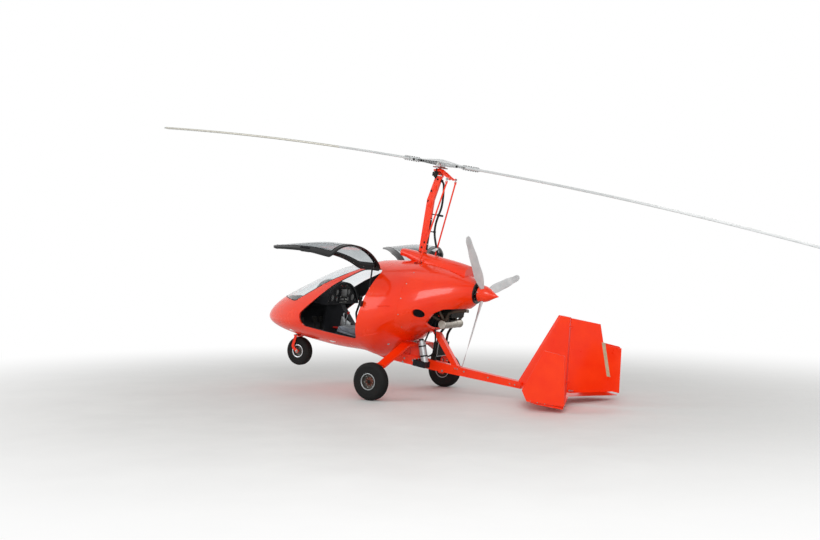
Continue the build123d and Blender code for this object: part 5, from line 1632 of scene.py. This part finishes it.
def stage():
    """The pale floor, the white surround and the soft lamps."""
    scene = bpy.context.scene
    scene.view_settings.view_transform = "Standard"
    bm = bmesh.new()
    bmesh.ops.create_circle(bm, cap_ends=True, segments=96, radius=60)
    mesh = bpy.data.meshes.new("floor")
    bm.to_mesh(mesh)
    bm.free()
    floor = linked("floor", mesh)

    # Painted concrete, rolled: pale and even, fading to the white surround away from the aircraft
    made, tree, shader = material("concrete_pale_painted")
    mottle(tree, shader, "#DCDCDA", "#E6E6E4", 900, (0.6, 0.8), (30, 0.4, 0.2))
    spot = node(tree, "ShaderNodeNewGeometry").outputs["Position"]
    far = node(tree, "ShaderNodeVectorMath", {"operation": "LENGTH"}, {0: spot})
    fade = node(tree, "ShaderNodeMapRange", {"interpolation_type": "SMOOTHSTEP"},
                {"Value": far.outputs["Value"], "From Min": 2.5, "From Max": 8.5})
    mix = node(tree, "ShaderNodeMath", {"operation": "MULTIPLY"}, {0: fade.outputs["Result"], 1: plainly_seen(tree)})
    white = node(tree, "ShaderNodeEmission", None, {"Color": (1, 1, 1, 1), "Strength": 1.0})
    blend = node(tree, "ShaderNodeMixShader", None,
                 {0: mix.outputs["Value"], 1: shader.outputs["BSDF"], 2: white.outputs["Emission"]})
    out = next(n for n in tree.nodes if n.type == "OUTPUT_MATERIAL")
    tree.links.new(blend.outputs["Shader"], out.inputs["Surface"])
    floor.data.materials.append(made)

    world = bpy.data.worlds.new("surround")
    world.use_nodes = True
    tree = world.node_tree
    tree.nodes.clear()
    level = node(tree, "ShaderNodeMapRange", None, {"Value": plainly_seen(tree), "To Min": 0.44, "To Max": 1.0})
    glow = node(tree, "ShaderNodeBackground", None, {"Color": (1, 1, 1, 1), "Strength": level.outputs["Result"]})
    node(tree, "ShaderNodeOutputWorld", None, {"Surface": glow.outputs["Background"]})
    scene.world = world

    for name, at, aim, size, power in (
        ("key_lamp", (6.0, -9.0, 4.8), (0, 0, 0.8), 5.0, 485),
        ("fill_lamp", (-6.5, -6.5, 4.5), (-0.6, 0, 0.8), 5.0, 190),
        ("top_lamp", (0.5, 1.0, 9.0), (0, 0, 0), 7.0, 60),
        ("back_lamp", (2.0, 9.0, 5.0), (0, 0, 1.0), 5.0, 110),
    ):
        lamp = bpy.data.lights.new(name, "AREA")
        lamp.size, lamp.energy = size, power
        linked(name, lamp).matrix_world = look_along(at, Vector(at) - Vector(aim))
    camera()


class GyroOperator:
    """What the dressing's operators share."""

    bl_options = {"REGISTER", "UNDO"}
    work = ()

    def execute(self, context):
        for step in self.work:
            step()
        return {"FINISHED"}


class GYRO_OT_stage(GyroOperator, bpy.types.Operator):
    """Add the floor, the white surround, the lamps and the camera"""
    bl_idname, bl_label = "gyro.stage", "Stage"
    work = (stage,)


class GYRO_OT_finishes(GyroOperator, bpy.types.Operator):
    """Give every frame node its finish"""
    bl_idname, bl_label = "gyro.finishes", "Frame finishes"
    work = (dress_nodes,)


class GYRO_OT_pod(GyroOperator, bpy.types.Operator):
    """Add the pod's seals, screws, outlets and recesses"""
    bl_idname, bl_label = "gyro.pod", "Pod trim"
    work = (pod_trim,)


class GYRO_OT_doors(GyroOperator, bpy.types.Operator):
    """Add the doors' beads, latches, handles and screws"""
    bl_idname, bl_label = "gyro.doors", "Door trim"
    work = (door_trim,)


class GYRO_OT_cockpit(GyroOperator, bpy.types.Operator):
    """Add the dials, screens, grips, levers and pedals"""
    bl_idname, bl_label = "gyro.cockpit", "Cockpit"
    work = (cockpit,)


class GYRO_OT_seats(GyroOperator, bpy.types.Operator):
    """Pad the seats' cushions and lay the belts on them"""
    bl_idname, bl_label = "gyro.seats", "Cushions and belts"
    work = (seats,)


class GYRO_OT_wheels(GyroOperator, bpy.types.Operator):
    """Add the tyres, rim fittings and brakes of all the wheels"""
    bl_idname, bl_label = "gyro.wheels", "Wheels"
    work = (main_wheels, nose_gear, tail_gear)


class GYRO_OT_engine(GyroOperator, bpy.types.Operator):
    """Dress the engine and fit its services"""
    bl_idname, bl_label = "gyro.engine", "Engine bay"
    work = (engine_bay, services)


class GYRO_OT_rotor(GyroOperator, bpy.types.Operator):
    """Fit the mast, the rotor head and the rotor"""
    bl_idname, bl_label = "gyro.rotor", "Mast and rotor"
    work = (mast_fittings, rotor_head, rotor_fittings)


class GYRO_OT_propeller(GyroOperator, bpy.types.Operator):
    """Fit the propeller and its spinner"""
    bl_idname, bl_label = "gyro.propeller", "Propeller"
    work = (propeller_fittings,)


class GYRO_OT_tail(GyroOperator, bpy.types.Operator):
    """Fit the tail and the keel"""
    bl_idname, bl_label = "gyro.tail", "Tail and keel"
    work = (tail_fittings, keel_fittings)


OPERATORS = (GYRO_OT_stage, GYRO_OT_finishes, GYRO_OT_pod, GYRO_OT_doors, GYRO_OT_cockpit, GYRO_OT_seats,
             GYRO_OT_wheels, GYRO_OT_engine, GYRO_OT_rotor, GYRO_OT_propeller, GYRO_OT_tail)


class GYRO_PT_panel(bpy.types.Panel):
    """The dressing's sizes, colours and steps"""
    bl_label = "Gyrocopter"
    bl_space_type = "VIEW_3D"
    bl_region_type = "UI"
    bl_category = "Gyrocopter"

    def draw(self, context):
        for name in GyroLook.__annotations__:
            self.layout.prop(context.scene.gyro_look, name)
        for operator in OPERATORS:
            self.layout.operator(operator.bl_idname)


def register():
    for kind in (GyroLook, *OPERATORS, GYRO_PT_panel):
        bpy.utils.register_class(kind)
    bpy.types.Scene.gyro_look = PointerProperty(type=GyroLook)


def unregister():
    del bpy.types.Scene.gyro_look
    for kind in (GYRO_PT_panel, *reversed(OPERATORS), GyroLook):
        bpy.utils.unregister_class(kind)


def main():
    """Dress the frame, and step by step."""
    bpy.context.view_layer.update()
    register()
    for operator in OPERATORS:
        group, name = operator.bl_idname.split(".")
        getattr(getattr(bpy.ops, group), name)()


if __name__ == "__main__":
    main()
